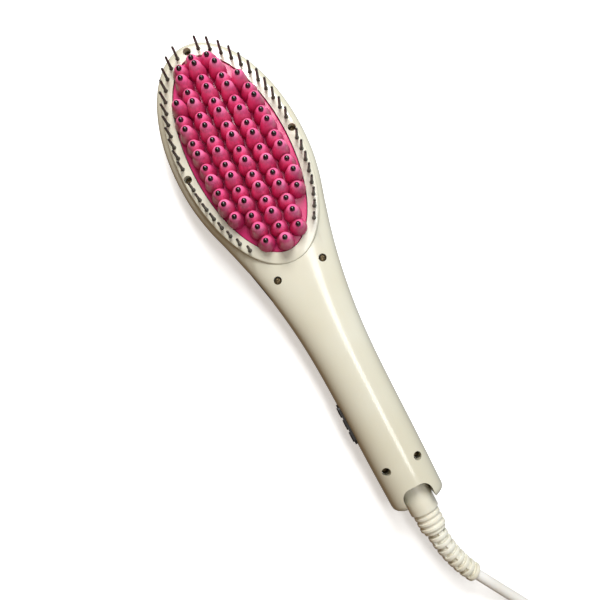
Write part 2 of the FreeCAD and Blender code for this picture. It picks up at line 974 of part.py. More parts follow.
def rounded_path(points):
    """Path of straight runs joined by tangent arcs as large as the runs allow, with its length and radii."""
    edges = []
    radii = []
    length = 0.0
    start = points[0]
    for before, corner, after in zip(points, points[1:], points[2:]):
        inward = corner - before
        outward = after - corner
        turn = inward.getAngle(outward)
        cut = bend_share * min(inward.Length, outward.Length)
        radius = cut / math.tan(turn / 2)
        inward.normalize()
        outward.normalize()
        first = corner - inward * cut
        last = corner + outward * cut
        bisector = outward - inward
        bisector.normalize()
        middle = corner + bisector * (radius / math.cos(turn / 2) - radius)
        edges.append(Part.LineSegment(start, first).toShape())
        edges.append(Part.Arc(first, middle, last).toShape())
        length += (first - start).Length + radius * turn
        radii.append(radius)
        start = last
    edges.append(Part.LineSegment(start, points[-1]).toShape())
    length += (points[-1] - start).Length
    return Part.Wire(edges), length, radii


def tube(name, points, radius):
    """Round tube along a rounded path; prints its radii and compares its volume with section times length."""
    path, length, radii = rounded_path(points)
    ring = Part.Wire(Part.makeCircle(radius, points[0], points[1] - points[0]))
    solid = path.makePipeShell([ring], True, False)
    expected = math.pi * radius ** 2 * length
    print(name, "length", round(length, 1), "radii", [round(value, 1) for value in radii],
          "volume ratio", round(solid.Volume / expected, 4))
    return solid


def heater_leads():
    """Two wires from the board to the heater's retainer."""
    inner = board_place()[1]
    start = board_start_x
    finish = plate_x + element_length / 2
    reach = lead_reach_share * (board_end_x - board_start_x)
    height = retainer_back - wire_radius - touch
    wires = []
    for side in (0, 1):
        y = inner + wire_radius + touch
        z = heater_wire_height + side * wire_spacing
        out = inner + (side + 1) * wire_spacing
        step = (start - finish) / 2
        points = [
            Vector(start + reach, y, z),
            Vector(start, y + wire_sag, z - wire_sag),
            Vector(start - step, (y + out) / 2, (z + height) / 2 - wire_sag),
            Vector(finish, out, height - wire_sag / 2),
            Vector(finish - step, out + wire_sag, height),
        ]
        wires.append(tube("heater lead", points, wire_radius))
    return Part.makeCompound(wires)


def supply_leads():
    """Two wires from the contact block to the board."""
    inner = board_place()[1]
    start = contact_block_span()[0]
    finish = board_end_x
    wires = []
    for side in (0, 1):
        z = board_low + board_rib_depth + 2 * wire_radius + side * wire_spacing
        y = side * wire_spacing - wire_spacing
        step = start - finish
        points = [
            Vector(start, y, supply_wire_height),
            Vector(start - step / 2, y, supply_wire_height),
            Vector(finish - step / 2, inner + wire_radius + wire_sag, z - wire_sag),
            Vector(finish - step, inner + wire_radius + touch, z),
        ]
        wires.append(tube("supply lead", points, wire_radius))
    return Part.makeCompound(wires)


def relief_bend():
    """Sideways direction of the strain relief's bend."""
    droop = math.radians(relief_droop_angle)
    return Vector(0, math.cos(droop), -math.sin(droop))


def relief_place(run):
    """Point and direction at a run along the strain relief's bent axis."""
    angle = run / relief_bend_radius
    bend = relief_bend()
    root = Vector(collar_end_x, 0, parting_height)
    point = root + X_AXIS * (relief_bend_radius * math.sin(angle))
    point = point + bend * (relief_bend_radius * (1 - math.cos(angle)))
    return point, X_AXIS * math.cos(angle) + bend * math.sin(angle)


def strain_relief():
    """Bent sleeve of tapering ribs on a core, with webs that change sides from gap to gap."""
    first = relief_place(0)[0]
    middle = relief_place(relief_length / 2)[0]
    last = relief_place(relief_length)[0]
    axis = Part.Wire(Part.Arc(first, middle, last).toShape())
    ring = Part.Wire(Part.makeCircle(relief_core_radius, first, X_AXIS))
    core = axis.makePipeShell([ring], True, False)
    grown = [Part.makeCylinder(relief_root_radius, relief_root_length, first, X_AXIS)]
    pitch = (relief_length - relief_root_length) / relief_ribs
    bend = relief_bend()
    for rib in range(relief_ribs):
        run = relief_root_length + (rib + 1) * pitch
        taper = (rib + 1) / relief_ribs
        radius = relief_rib_radius + taper * (relief_end_radius - relief_rib_radius)
        point, direction = relief_place(run)
        low = point - direction * relief_rib_length
        grown.append(Part.makeCylinder(radius, relief_rib_length, low, direction))
        side = direction.cross(bend)
        side.normalize()
        across = direction.cross(side) if rib % 2 else side
        grown.append(relief_web(run - pitch, pitch, radius - relief_web_sink, across))
    return core.fuse(grown).removeSplitter()


def relief_web(run, pitch, reach, across):
    """Flat web across one gap between two ribs."""
    point, direction = relief_place(run + pitch / 2)
    half = relief_web_width / 2
    up = across.cross(direction)
    up.normalize()
    corners = []
    for a, b in ((-1, -1), (1, -1), (1, 1), (-1, 1)):
        corners.append(point - direction * (pitch / 2) + across * (a * reach) + up * (b * half))
    face = Part.Face(Part.makePolygon(corners + [corners[0]]))
    return face.extrude(direction * pitch)


def lead_route():
    """Points of the free lead from the strain relief to the coil."""
    start = relief_place(relief_length)[0]
    return [start] + [start + Vector(*step) for step in lead_steps]


def biarc(start, start_way, finish, finish_way):
    """Two arcs, each tangent to the next, between two points with given directions."""
    chord = finish - start
    ways = start_way + finish_way
    spread = 2 * (1 - start_way.dot(finish_way))
    slope = chord.dot(ways)
    reach = (math.sqrt(slope ** 2 + spread * chord.dot(chord)) - slope) / spread
    joint = (start + finish + (start_way - finish_way) * reach) / 2
    arcs = []
    for first, apex, last in (
        (start, start + start_way * reach, joint),
        (joint, finish - finish_way * reach, finish),
    ):
        weight = (last - first).Length / 2 / reach
        middle = (first + apex * (2 * weight) + last) / (2 * (1 + weight))
        arcs.append(Part.Arc(first, middle, last).toShape())
    return arcs


def coil_frame():
    """Middle of the coil, the angle where the cord comes in, and the two layer heights."""
    before, last = lead_route()[-2:]
    way = last - before
    way = Vector(way.x, way.y, 0)
    way.normalize()
    last = last + way * cord_diameter
    middle = last + Vector(way.y, -way.x, 0) * coil_radius
    angle = math.atan2(last.y - middle.y, last.x - middle.x)
    return Vector(middle.x, middle.y, 0), angle, last.z, last.z + cord_diameter + coil_gap


def coil_stations():
    """Points and directions at each half turn: in on the lower layer, up, and out on the upper layer."""
    middle, angle, low, high = coil_frame()
    step = (cord_diameter + coil_gap) / 2
    radii = [coil_radius - step * turn for turn in range(coil_half_turns + 1)]
    radii[-1] = radii[-1] - coil_climb_inset
    heights = [low] * len(radii) + [high] * len(radii)
    angles = [angle - math.pi * turn for turn in range(len(heights))]
    rows = list(zip(angles, radii + radii[::-1], heights))
    rows.append((angles[-1] - math.radians(coil_exit_angle), coil_radius, high))
    stations = []
    for turn, radius, height in rows:
        out = Vector(math.cos(turn), math.sin(turn), 0)
        stations.append((middle + out * radius + Z_AXIS * height, Vector(out.y, -out.x, 0)))
    return stations


def coil_path():
    """Path of the coil with a straight run of one diameter at each end."""
    stations = coil_stations()
    start, start_way = stations[0]
    finish, finish_way = stations[-1]
    edges = [Part.LineSegment(start - start_way * cord_diameter, start).toShape()]
    for (first, first_way), (last, last_way) in zip(stations, stations[1:]):
        edges += biarc(first, first_way, last, last_way)
    edges.append(Part.LineSegment(finish, finish + finish_way * cord_diameter).toShape())
    return Part.Wire(edges)


def coil_self_gap(path):
    """Least gap between the coil's turns, measured on points along its path."""
    points = path.discretize(Distance=cord_diameter / 2)
    skip = int(2 * math.pi * cord_diameter / cord_diameter)
    least = path.Length
    for index, point in enumerate(points):
        for other in points[index + skip:]:
            least = min(least, point.distanceToPoint(other))
    return least - cord_diameter


def cord_coil():
    """Put-away coil as one unbroken tube."""
    path = coil_path()
    stations = coil_stations()
    start, way = stations[0]
    ring = Part.Wire(Part.makeCircle(cord_radius, start - way * cord_diameter, way))
    coil = path.makePipeShell([ring], True, False)
    expected = math.pi * cord_radius ** 2 * path.Length
    print("coil length", round(path.Length, 1), "self gap", round(coil_self_gap(path), 3),
          "volume ratio", round(coil.Volume / expected, 4))
    return coil


def tail_route():
    """Points of the tail from the coil to the plug."""
    finish, way = coil_stations()[-1]
    start = finish + way * cord_diameter
    side = Vector(-way.y, way.x, 0)
    route = [start]
    for back, out, rise in tail_steps:
        route.append(start - way * back + side * -out + Z_AXIS * rise)
    return route


def cord_tie():
    """Thin band round the coil's turns."""
    middle, angle, low, high = coil_frame()
    step = (cord_diameter + coil_gap) / 2
    inner = coil_radius - step * coil_half_turns - step - cord_radius - tie_gap
    outer = coil_radius + step + cord_radius + tie_gap
    bottom = low - cord_radius - tie_gap / 2
    top = high + cord_radius + tie_gap / 2
    half = tie_width / 2
    thick = tie_thickness
    hole = rounded_block(inner, outer, -half - overrun, half + overrun, bottom, top, cord_radius)
    band = rounded_block(inner - thick, outer + thick, -half, half, bottom - thick, top + thick,
                         cord_radius + thick)
    tie = band.cut(hole)
    tie.rotate(Vector(0, 0, 0), Z_AXIS, tie_angle)
    return tie.translated(Vector(middle.x, middle.y, 0))


def plug_frame():
    """Rear end of the plug's boot and the plug's direction."""
    before, last = tail_route()[-2:]
    way = last - before
    way = Vector(way.x, way.y, 0)
    way.normalize()
    return last, way


def placed_on_plug(shape):
    """Shape drawn along +X from the boot's rear end, laid where the plug lies."""
    start, way = plug_frame()
    shape = shape.copy()
    shape.rotate(Vector(0, 0, 0), Z_AXIS, math.degrees(math.atan2(way.y, way.x)))
    return shape.translated(start)


def plug_section(x, width, thickness):
    """Upright rounded rectangle across the plug."""
    half_width = width / 2
    half_height = thickness / 2
    plate = Part.makePlane(width, thickness, Vector(x, -half_width, -half_height), X_AXIS, Y_AXIS)
    solid = plate.extrude(Vector(plug_length, 0, 0))
    edges = [edge for edge in solid.Edges if abs(edge.tangentAt(edge.FirstParameter).x) > 1 - touch]
    solid = solid.makeFillet(plug_corner, edges)
    faces = [face for face in solid.Faces if abs(face.CenterOfMass.x - x) < touch]
    return faces[0].OuterWire


def plug_body():
    """Flat plug with tapered shoulders and a boot round the cord."""
    rear = plug_boot_length
    shoulder = rear + plug_length * plug_shoulder_share
    front = rear + plug_length
    taper = Part.makeLoft([
        plug_section(rear, plug_neck_width, plug_neck_thickness),
        plug_section(shoulder, plug_width, plug_thickness),
    ], True, True)
    face = Part.makeLoft([
        plug_section(shoulder, plug_width, plug_thickness),
        plug_section(front, plug_width, plug_thickness),
    ], True, True)
    boot = Part.makeCone(cord_radius, plug_boot_radius, rear, Vector(0, 0, 0), X_AXIS)
    holes = []
    for side in (-1, 1):
        y = side * plug_pin_spacing / 2
        holes.append(rod(front - plug_pin_sink, front + overrun, y, 0, plug_stub_radius))
    body = taper.fuse([face, boot]).removeSplitter().cut(Part.makeCompound(holes))
    return placed_on_plug(body)


def plug_pins():
    """Two round contact pins with a thin root in the plug and rounded ends."""
    front = plug_boot_length + plug_length
    pins = []
    for side in (-1, 1):
        y = side * plug_pin_spacing / 2
        straight = front + plug_pin_length - plug_pin_radius
        foot = front + plug_stub_length
        stub = rod(front - plug_pin_sink, foot, y, 0, plug_stub_radius)
        shaft = rod(foot, straight, y, 0, plug_pin_radius)
        tip = Part.makeSphere(plug_pin_radius, Vector(straight, y, 0), X_AXIS, 0, 90, 360)
        pins.append(stub.fuse([shaft, tip]).removeSplitter())
    return placed_on_plug(Part.makeCompound(pins))


def build():
    """All nodes by name."""
    skins = (front_skin(), back_skin())
    keys = [key(x) for x in key_places()]
    return {
        "front_shell": front_shell(skins[0]),
        "back_shell": back_shell(skins[1]),
        "case_screws": case_screws(),
        "heater_plate": heater_plate(),
        "cone_tips": cone_tips(),
        "guard_bristles": guard_bristles(),
        "plate_gasket": plate_gasket(),
        "heating_element": heater_sheet(element_length, element_width, element_back, plate_back),
        "heater_insulator": heater_sheet(element_length, element_width, insulator_back, element_back),
        "heater_retainer": heater_retainer(),
        "retainer_screws": retainer_screws(),
        "thermal_fuse": thermal_fuse(),
        "temperature_sensor": temperature_sensor(),
        "heater_leads": heater_leads(),
        "supply_leads": supply_leads(),
        "control_board": control_board(),
        "tact_switches": tact_switches(),
        "board_components": board_components(),
        "key_bezel": key_bezel(),
        "power_key": keys[2],
        "plus_key": keys[0],
        "minus_key": keys[1],
        "display_lens": display_lens(),
        "display_module": display_module(),
        "swivel_collar": swivel_collar(),
        "slip_rings": slip_rings(),
        "contact_block": contact_block(),
        "contact_blades": contact_blades(),
        "strain_relief": strain_relief(),
        "cord_lead": tube("cord lead", lead_route(), cord_radius),
        "cord_coil": cord_coil(),
        "cord_tail": tube("cord tail", tail_route(), cord_radius),
        "cord_tie": cord_tie(),
        "plug_body": plug_body(),
        "plug_pins": plug_pins(),
    }


os.makedirs("parts", exist_ok=True)
for node, shape in build().items():
    solids = shape.Solids
    print(node, len(solids), "valid" if shape.isValid() else "INVALID", round(shape.Volume, 1))
    shape.exportStep("parts/" + node + ".step")
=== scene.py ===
"""Dresses the heated styling brush: ivory casing, pink cone plate, guard bristles, keys and mains lead.

Sizes are in millimetres and follow the part's source; each piece is scaled to metres when it is made.
"""

import logging
import math
from dataclasses import dataclass, field
from enum import Enum
from typing import Any, Callable, Iterable, Sequence

import bmesh
import bpy
from mathutils import Matrix, Vector


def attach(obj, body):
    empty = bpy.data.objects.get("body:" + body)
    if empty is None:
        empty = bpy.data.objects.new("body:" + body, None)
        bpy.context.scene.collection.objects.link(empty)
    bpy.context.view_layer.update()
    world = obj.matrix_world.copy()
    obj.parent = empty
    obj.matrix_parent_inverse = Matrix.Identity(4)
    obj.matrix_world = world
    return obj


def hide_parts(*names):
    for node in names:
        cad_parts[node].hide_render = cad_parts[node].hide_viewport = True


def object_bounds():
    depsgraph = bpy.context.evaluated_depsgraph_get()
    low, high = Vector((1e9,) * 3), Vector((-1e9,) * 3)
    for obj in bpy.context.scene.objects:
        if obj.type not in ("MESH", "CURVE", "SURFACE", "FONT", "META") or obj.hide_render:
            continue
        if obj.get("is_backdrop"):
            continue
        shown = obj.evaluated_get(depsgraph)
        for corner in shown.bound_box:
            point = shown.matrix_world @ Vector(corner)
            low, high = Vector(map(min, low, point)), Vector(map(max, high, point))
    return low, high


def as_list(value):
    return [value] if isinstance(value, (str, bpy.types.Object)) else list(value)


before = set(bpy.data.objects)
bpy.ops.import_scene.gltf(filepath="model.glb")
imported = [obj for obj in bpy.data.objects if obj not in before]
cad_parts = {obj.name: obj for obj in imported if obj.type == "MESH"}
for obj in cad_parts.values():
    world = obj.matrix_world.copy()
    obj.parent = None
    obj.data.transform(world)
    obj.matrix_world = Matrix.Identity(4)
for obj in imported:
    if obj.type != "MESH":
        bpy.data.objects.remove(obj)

LOG = logging.getLogger("styling_brush")
MM = 0.001
Pair = tuple[float, float]
Triple = tuple[float, float, float]
Profile = tuple[Pair, ...]
Form = bmesh.types.BMesh
Tree = bpy.types.NodeTree
Socket = bpy.types.NodeSocket

# Heights and places that several sub-assemblies share
PARTING_HEIGHT = 14.5
KEYS_X = 77.75
# Where the noise patterns turn from one value to the other, and how fine they are
DRIFT_SPAN: Pair = (0.35, 0.65)
GLOSS_SPAN: Pair = (0.3, 0.7)
DRIFT_DETAIL = 3.0
GLOSS_DETAIL = 4.0
RELIEF_DETAIL = 2.0
# How far light goes into a plastic, in metres for red, green and blue
SCATTER_RADIUS: Triple = (0.004, 0.003, 0.002)
SCATTER_SCALE = 0.5
# The mix node's colour sockets, which share their names with its others
MIX_FIRST, MIX_SECOND, MIX_RESULT = 6, 7, 2
# Limits of the mesh helpers
MERGE_DISTANCE = 1e-4
LEAST_EDGE = 1e-5
EDGE_RUN = 0.1
ROUND_PROFILE = 0.5


# Finishes


def linear(code: str) -> tuple[float, float, float, float]:
    """Turn an sRGB hex colour into a linear one.

    Args:
        code: Six hex digits.

    Returns:
        Linear red, green, blue and an alpha of one.
    """
    parts = [int(code[place:place + 2], 16) / 255 for place in (0, 2, 4)]
    red, green, blue = [
        part / 12.92 if part <= 0.04045 else ((part + 0.055) / 1.055) ** 2.4 for part in parts]
    return red, green, blue, 1.0


def add_node(
    tree: Tree, kind: str, settings: dict[str, Any] | None = None, inputs: dict[Any, Any] | None = None
) -> bpy.types.Node:
    """Add a node with its settings, its fixed values and its links.

    Args:
        tree: The node tree.
        kind: The node's type name.
        settings: Properties of the node.
        inputs: Values or output sockets by input name or number.

    Returns:
        The new node.
    """
    node = tree.nodes.new(kind)
    for name, value in (settings or {}).items():
        setattr(node, name, value)
    for name, value in (inputs or {}).items():
        if isinstance(value, Socket):
            tree.links.new(value, node.inputs[name])
        else:
            node.inputs[name].default_value = value
    return node


def noise(tree: Tree, place: Socket, size: float, detail: float) -> Socket:
    """Add a cloudy pattern.

    Args:
        tree: The node tree.
        place: Object coordinates.
        size: Size of its features in millimetres.
        detail: How many finer layers it has.

    Returns:
        The pattern's value.
    """
    inputs = {"Vector": place, "Scale": 1 / (size * MM), "Detail": detail}
    return add_node(tree, "ShaderNodeTexNoise", inputs=inputs).outputs["Fac"]


def blend(tree: Tree, share: Socket, first: Any, second: Any) -> Socket:
    """Mix two colours, each a value or a socket.

    Args:
        tree: The node tree.
        share: Share of the second colour.
        first: The first colour.
        second: The second colour.

    Returns:
        The mixed colour.
    """
    mix = add_node(tree, "ShaderNodeMix", {"data_type": "RGBA"}, {
        "Factor": share, MIX_FIRST: first, MIX_SECOND: second,
    })
    return mix.outputs[MIX_RESULT]


def coordinate(tree: Tree, vector: Socket, axis: str) -> Socket:
    """Take one coordinate of a vector."""
    return add_node(tree, "ShaderNodeSeparateXYZ", inputs={"Vector": vector}).outputs[axis]


@dataclass(frozen=True)
class Finish:
    """A surface whose colour drifts slowly, whose gloss varies and which has a shallow relief.

    Sizes of the drift, gloss and relief patterns are in millimetres.
    """

    name: str
    base: str
    drift: str
    drift_size: float
    rough_low: float
    rough_high: float
    gloss_size: float
    relief_size: float
    relief_depth: float
    metallic: float = 0.0
    coat: float = 0.0
    coat_roughness: float = 0.05
    ior: float = 1.5
    subsurface: float = 0.0
    glow: float = 0.0

    def colour(self, tree: Tree, place: Socket) -> Socket:
        """Mix the two colours by a soft noise.

        Args:
            tree: The material's node tree.
            place: Object coordinates.

        Returns:
            The colour socket.
        """
        drift = noise(tree, place, self.drift_size, DRIFT_DETAIL)
        ramp = add_node(tree, "ShaderNodeValToRGB", inputs={"Fac": drift})
        for stop, position, code in zip(ramp.color_ramp.elements, DRIFT_SPAN, (self.base, self.drift)):
            stop.position = position
            stop.color = linear(code)
        return ramp.outputs["Color"]

    def material(self) -> bpy.types.Material:
        """Make the material, or find it where it is made already.

        Returns:
            The material.
        """
        found = bpy.data.materials.get(self.name)
        if found:
            return found
        material = bpy.data.materials.new(self.name)
        material.use_nodes = True
        tree = material.node_tree
        tree.nodes.clear()
        place = add_node(tree, "ShaderNodeTexCoord").outputs["Object"]
        rough = add_node(tree, "ShaderNodeMapRange", inputs={
            "Value": noise(tree, place, self.gloss_size, GLOSS_DETAIL), "From Min": GLOSS_SPAN[0],
            "From Max": GLOSS_SPAN[1], "To Min": self.rough_low, "To Max": self.rough_high,
        })
        bump = add_node(tree, "ShaderNodeBump", inputs={
            "Height": noise(tree, place, self.relief_size, RELIEF_DETAIL), "Strength": 1.0,
            "Distance": self.relief_depth * MM,
        })
        shader = add_node(tree, "ShaderNodeBsdfPrincipled", inputs={
            "Base Color": self.colour(tree, place), "Roughness": rough.outputs["Result"],
            "Normal": bump.outputs["Normal"], "Metallic": self.metallic, "Coat Weight": self.coat,
            "Coat Roughness": self.coat_roughness, "IOR": self.ior, "Subsurface Weight": self.subsurface,
            "Subsurface Radius": SCATTER_RADIUS, "Subsurface Scale": SCATTER_SCALE,
            "Emission Color": linear(self.base), "Emission Strength": self.glow,
        })
        add_node(tree, "ShaderNodeOutputMaterial", inputs={"Surface": shader.outputs["BSDF"]})
        return material


@dataclass(frozen=True)
class SeamedFinish(Finish):
    """A moulded casing whose halves meet in a fine line at one height."""

    seam_height: float = PARTING_HEIGHT
    seam_width: float = 0.22
    seam_tone: str = "8E8164"

    def colour(self, tree: Tree, place: Socket) -> Socket:
        """Lay the parting line over the drifting colour.

        Args:
            tree: The material's node tree.
            place: Object coordinates.

        Returns:
            The colour socket.
        """
        seam = add_node(tree, "ShaderNodeMath", {"operation": "COMPARE"}, {
            0: coordinate(tree, place, "Z"), 1: self.seam_height * MM, 2: self.seam_width / 2 * MM,
        })
        plain = super().colour(tree, place)
        return blend(tree, seam.outputs["Value"], plain, linear(self.seam_tone))


@dataclass(frozen=True)
class PaintedShadeFinish(Finish):
    """An enamel with painted shade: by height alone, its colour is painted darker towards the foot of a
    casting and paler on its tips as a painted highlight.
    """

    # Painted shade: its tone at the foot, the height where it is full, and the height where the pale painted
    # highlight of the tips takes over
    painted_shade_tone: str = "C82C6C"
    painted_shade_height: float = 28.0
    painted_highlight_height: float = 38.0

    def colour(self, tree: Tree, place: Socket) -> Socket:
        """Paint shade on the drifting colour towards the foot of the casting, so that the paler tips read as
        a painted highlight.

        Args:
            tree: The material's node tree.
            place: Object coordinates.

        Returns:
            The colour socket.
        """
        # Painted shade and highlight by height: dark low between the cones, pale on their tips
        share = add_node(tree, "ShaderNodeMapRange", {"interpolation_type": "SMOOTHSTEP"}, {
            "Value": coordinate(tree, place, "Z"), "From Min": self.painted_shade_height * MM,
            "From Max": self.painted_highlight_height * MM,
        })
        tip_tone = super().colour(tree, place)
        return blend(tree, share.outputs["Result"], linear(self.painted_shade_tone), tip_tone)


# High-gloss ivory ABS from a polished mould: a soft cream body with long clear reflections.
IVORY_ABS = SeamedFinish(
    "ivory_gloss_abs", "D9D7C6", "D3CFBA", 55.0, 0.16, 0.24, 9.0, 2.4, 0.006, coat=0.35, ior=1.53,
    subsurface=0.06)
# Softer ivory plastic without a parting line, for turned and bent mouldings at the cord's end.
IVORY_SOFT = Finish(
    "ivory_moulded_pvc", "E8E6D8", "E2DECB", 20.0, 0.34, 0.46, 5.0, 0.9, 0.012, ior=1.52, subsurface=0.08)
# Stove enamel on cast aluminium: deep wet pink with a slight orange-peel ripple. Painted shade darkens it low
# between the cones, and a painted highlight keeps their tips pale.
PINK_ENAMEL = PaintedShadeFinish(
    "pink_stove_enamel", "F0629C", "F986B5", 7.0, 0.28, 0.4, 3.0, 1.6, 0.02, coat=0.1, coat_roughness=0.12,
    ior=1.4)
# Black heat-proof resin beads: small, dark and wet-looking, with a sharp glint.
BLACK_BEAD = Finish("black_resin_bead", "120507", "1E090D", 2.0, 0.08, 0.16, 0.8, 0.5, 0.004, coat=0.6)
# Extruded nylon bristle: dark grey-brown, satin, a little paler where it catches light.
DARK_NYLON = Finish("dark_nylon_bristle", "2A2420", "453B33", 3.0, 0.32, 0.5, 1.5, 0.6, 0.01)
# Blackened steel screws: dull dark metal with worn bright specks.
BLACK_STEEL = Finish("blackened_steel", "75664C", "564B3A", 1.2, 0.35, 0.55, 0.6, 0.4, 0.01, metallic=1.0)
# Satin black ABS trim: dark, with a fine spark-eroded grain.
BLACK_TRIM = Finish("satin_black_abs", "1A1816", "24211E", 8.0, 0.34, 0.46, 1.2, 0.5, 0.015)
# Moulded key caps: dark grey, a shade lighter and smoother than the bezel round them.
KEY_PLASTIC = Finish("dark_key_plastic", "2E2C2B", "383634", 4.0, 0.28, 0.38, 1.0, 0.5, 0.008)
# Pad-printed mark on the keys: thin pale ink.
KEY_INK = Finish("pale_key_ink", "D8D5CB", "C9C6BC", 1.0, 0.4, 0.5, 0.6, 0.3, 0.004)
# Smoked acrylic window: nearly black glass with a clear reflection.
SMOKED_ACRYLIC = Finish(
    "smoked_acrylic", "120F0E", "1B1614", 12.0, 0.05, 0.09, 8.0, 4.0, 0.003, coat=0.6, ior=1.49)
# Soft white PVC lead: satin, faintly wavy from extrusion.
WHITE_PVC = Finish("white_pvc_sheath", "F0EFE9", "E6E3DA", 14.0, 0.36, 0.48, 4.0, 1.5, 0.012, subsurface=0.08)
# Moulded PVC plug: the same white, a little harder and smoother.
PLUG_PVC = Finish("white_plug_pvc", "EFEDE6", "E5E2D8", 16.0, 0.32, 0.42, 5.0, 0.8, 0.012, subsurface=0.05)
# Nickel-plated brass pins: bright, with fine drawn lines.
NICKEL = Finish("nickel_plated_brass", "C9C6BE", "B8B4AA", 3.0, 0.2, 0.32, 0.8, 0.3, 0.004, metallic=1.0)
# Nylon sleeve on the pins' roots: plain dark insulation.
PIN_SLEEVE = Finish("pin_sleeve_nylon", "26262A", "303034", 3.0, 0.4, 0.5, 1.0, 0.5, 0.008)
# Silicone rubber ring: matt, warm grey.
SILICONE = Finish("silicone_ring", "A39C92", "968F86", 6.0, 0.6, 0.75, 2.0, 0.8, 0.02)
# Mica sheet: flaky, pale brown.
MICA = Finish("mica_sheet", "B7A27C", "9C8863", 4.0, 0.35, 0.6, 1.5, 0.7, 0.03)
# Pressed aluminium sheet: pale grey, softly brushed.
SHEET_ALUMINIUM = Finish(
    "pressed_aluminium", "C3C4C6", "B3B4B6", 9.0, 0.28, 0.42, 1.0, 0.6, 0.008, metallic=1.0)
# Solder-masked laminate: green board with a glassy skin.
LAMINATE = Finish("green_laminate", "17492F", "123D27", 5.0, 0.25, 0.35, 2.0, 0.6, 0.01, coat=0.2)
# Epoxy cases of the electronic parts: dull black.
EPOXY = Finish("epoxy_case", "232323", "2D2C2B", 3.0, 0.5, 0.62, 1.0, 0.4, 0.012)
# Silicone wire sheath: soft red-brown insulation.
WIRE_SHEATH = Finish("wire_sheath", "8C2A22", "7C241E", 5.0, 0.45, 0.58, 2.0, 0.7, 0.01)
# Stamped brass: warm yellow metal with rubbed tracks.
BRASS = Finish("stamped_brass", "C79A4B", "B4873B", 2.0, 0.22, 0.38, 0.8, 0.3, 0.006, metallic=1.0)
# Matt paper sweep: even and pale, with a hint of fibre.
PAPER = Finish("white_paper_sweep", "FDFDFC", "FBFBFA", 400.0, 0.8, 0.9, 40.0, 3.0, 0.01, glow=0.45)


# Mesh helpers


class Rounded(Enum):
    """What is rounded off, by Blender's name for it."""

    EDGES = "EDGES"
    CORNERS = "VERTICES"


def round_off(
    shape: Form, geometry: Sequence[Any], corner: float, segments: int, what: Rounded = Rounded.EDGES
) -> None:
    """Round edges or corners off.

    Args:
        shape: The form.
        geometry: Its edges or its corners.
        corner: Offset of the rounding.
        segments: Segments of each rounding.
        what: Which of the two they are.
    """
    bmesh.ops.bevel(
        shape, geom=geometry, offset=corner, offset_type="OFFSET", affect=what.value, segments=segments,
        profile=ROUND_PROFILE, material=-1, clamp_overlap=what is Rounded.CORNERS)


def running(shape: Form, axis: int) -> list[bmesh.types.BMEdge]:
    """Find the edges of a form that run along an axis."""
    return [edge for edge in shape.edges if abs(edge.verts[0].co[axis] - edge.verts[1].co[axis]) > EDGE_RUN]


def new_verts(result: dict[str, Any]) -> list[bmesh.types.BMVert]:
    """Pick the corners out of what an extrusion made."""
    return [item for item in result["geom"] if isinstance(item, bmesh.types.BMVert)]


def tidy(shape: Form) -> None:
    """Merge doubles and turn the faces outwards.

    Args:
        shape: The form.
    """
    bmesh.ops.remove_doubles(shape, verts=shape.verts[:], dist=MERGE_DISTANCE)
    bmesh.ops.dissolve_degenerate(shape, edges=shape.edges[:], dist=LEAST_EDGE)
    bmesh.ops.recalc_face_normals(shape, faces=shape.faces[:])


def turned(points: Sequence[Pair], steps: int, corner: float = 0.0, segments: int = 3) -> Form:
    """Spin a profile about Z.

    Args:
        points: Radius and height of each corner of the profile.
        steps: Steps of the full turn.
        corner: Rounding of the profile's inner corners.
        segments: Segments of each rounding.

    Returns:
        The turned form.
    """
    shape = bmesh.new()
    corners = [shape.verts.new((radius, 0, height)) for radius, height in points]
    for pair in zip(corners, corners[1:]):
        shape.edges.new(pair)
    if corner:
        round_off(shape, corners[1:-1], corner, segments, Rounded.CORNERS)
    bmesh.ops.spin(
        shape, geom=shape.verts[:] + shape.edges[:], cent=(0, 0, 0), axis=(0, 0, 1), dvec=(0, 0, 0),
        angle=2 * math.pi, steps=steps, use_merge=True, use_normal_flip=False, use_duplicate=False)
    tidy(shape)
    return shape


def rod(radius: float, low: float, high: float, steps: int) -> Form:
    """Make a round rod along Z between two heights."""
    return turned([(0, low), (radius, low), (radius, high), (0, high)], steps)


def box(size: Triple, centre: Triple) -> Form:
    """Make a block.

    Args:
        size: Lengths along X, Y and Z.
        centre: Middle of the block.

    Returns:
        The block.
    """
    shape = bmesh.new()
    bmesh.ops.create_cube(shape, size=1.0)
    bmesh.ops.scale(shape, vec=size, verts=shape.verts)
    bmesh.ops.translate(shape, vec=centre, verts=shape.verts)
    return shape


def moved(shape: Form, place: Matrix) -> Form:
    """Move a form and give it back."""
    bmesh.ops.transform(shape, matrix=place, verts=shape.verts[:])
    return shape


def mesh_of(name: str, shape: Form) -> bpy.types.Mesh:
    """Make a mesh of a form.

    Args:
        name: The mesh's name.
        shape: The form.

    Returns:
        The mesh.
    """
    mesh = bpy.data.meshes.new(name)
    shape.to_mesh(mesh)
    return mesh


def linked(name: str, data: bpy.types.ID) -> bpy.types.Object:
    """Make an object and link it to the scene.

    Args:
        name: The object's name.
        data: Its mesh, curve, light or camera.

    Returns:
        The object.
    """
    piece = bpy.data.objects.new(name, data)
    bpy.context.scene.collection.objects.link(piece)
    return piece


def add_shape(whole: Form, part: Form, place: Matrix | None = None) -> None:
    """Add a copy of a form to another one.

    Args:
        whole: The form that grows.
        part: The form that is copied.
        place: Where the copy goes.
    """
    store = mesh_of("store", part)
    if place is not None:
        store.transform(place)
    whole.from_mesh(store)
    bpy.data.meshes.remove(store)


def repeated(part: Form, spots: Iterable[Triple]) -> Form:
    """Set copies of a form on some points.

    Args:
        part: The form that is copied.
        spots: The points.

    Returns:
        The copies as one form.
    """
    whole = bmesh.new()
    for spot in spots:
        add_shape(whole, part, upright(*spot))
    return whole


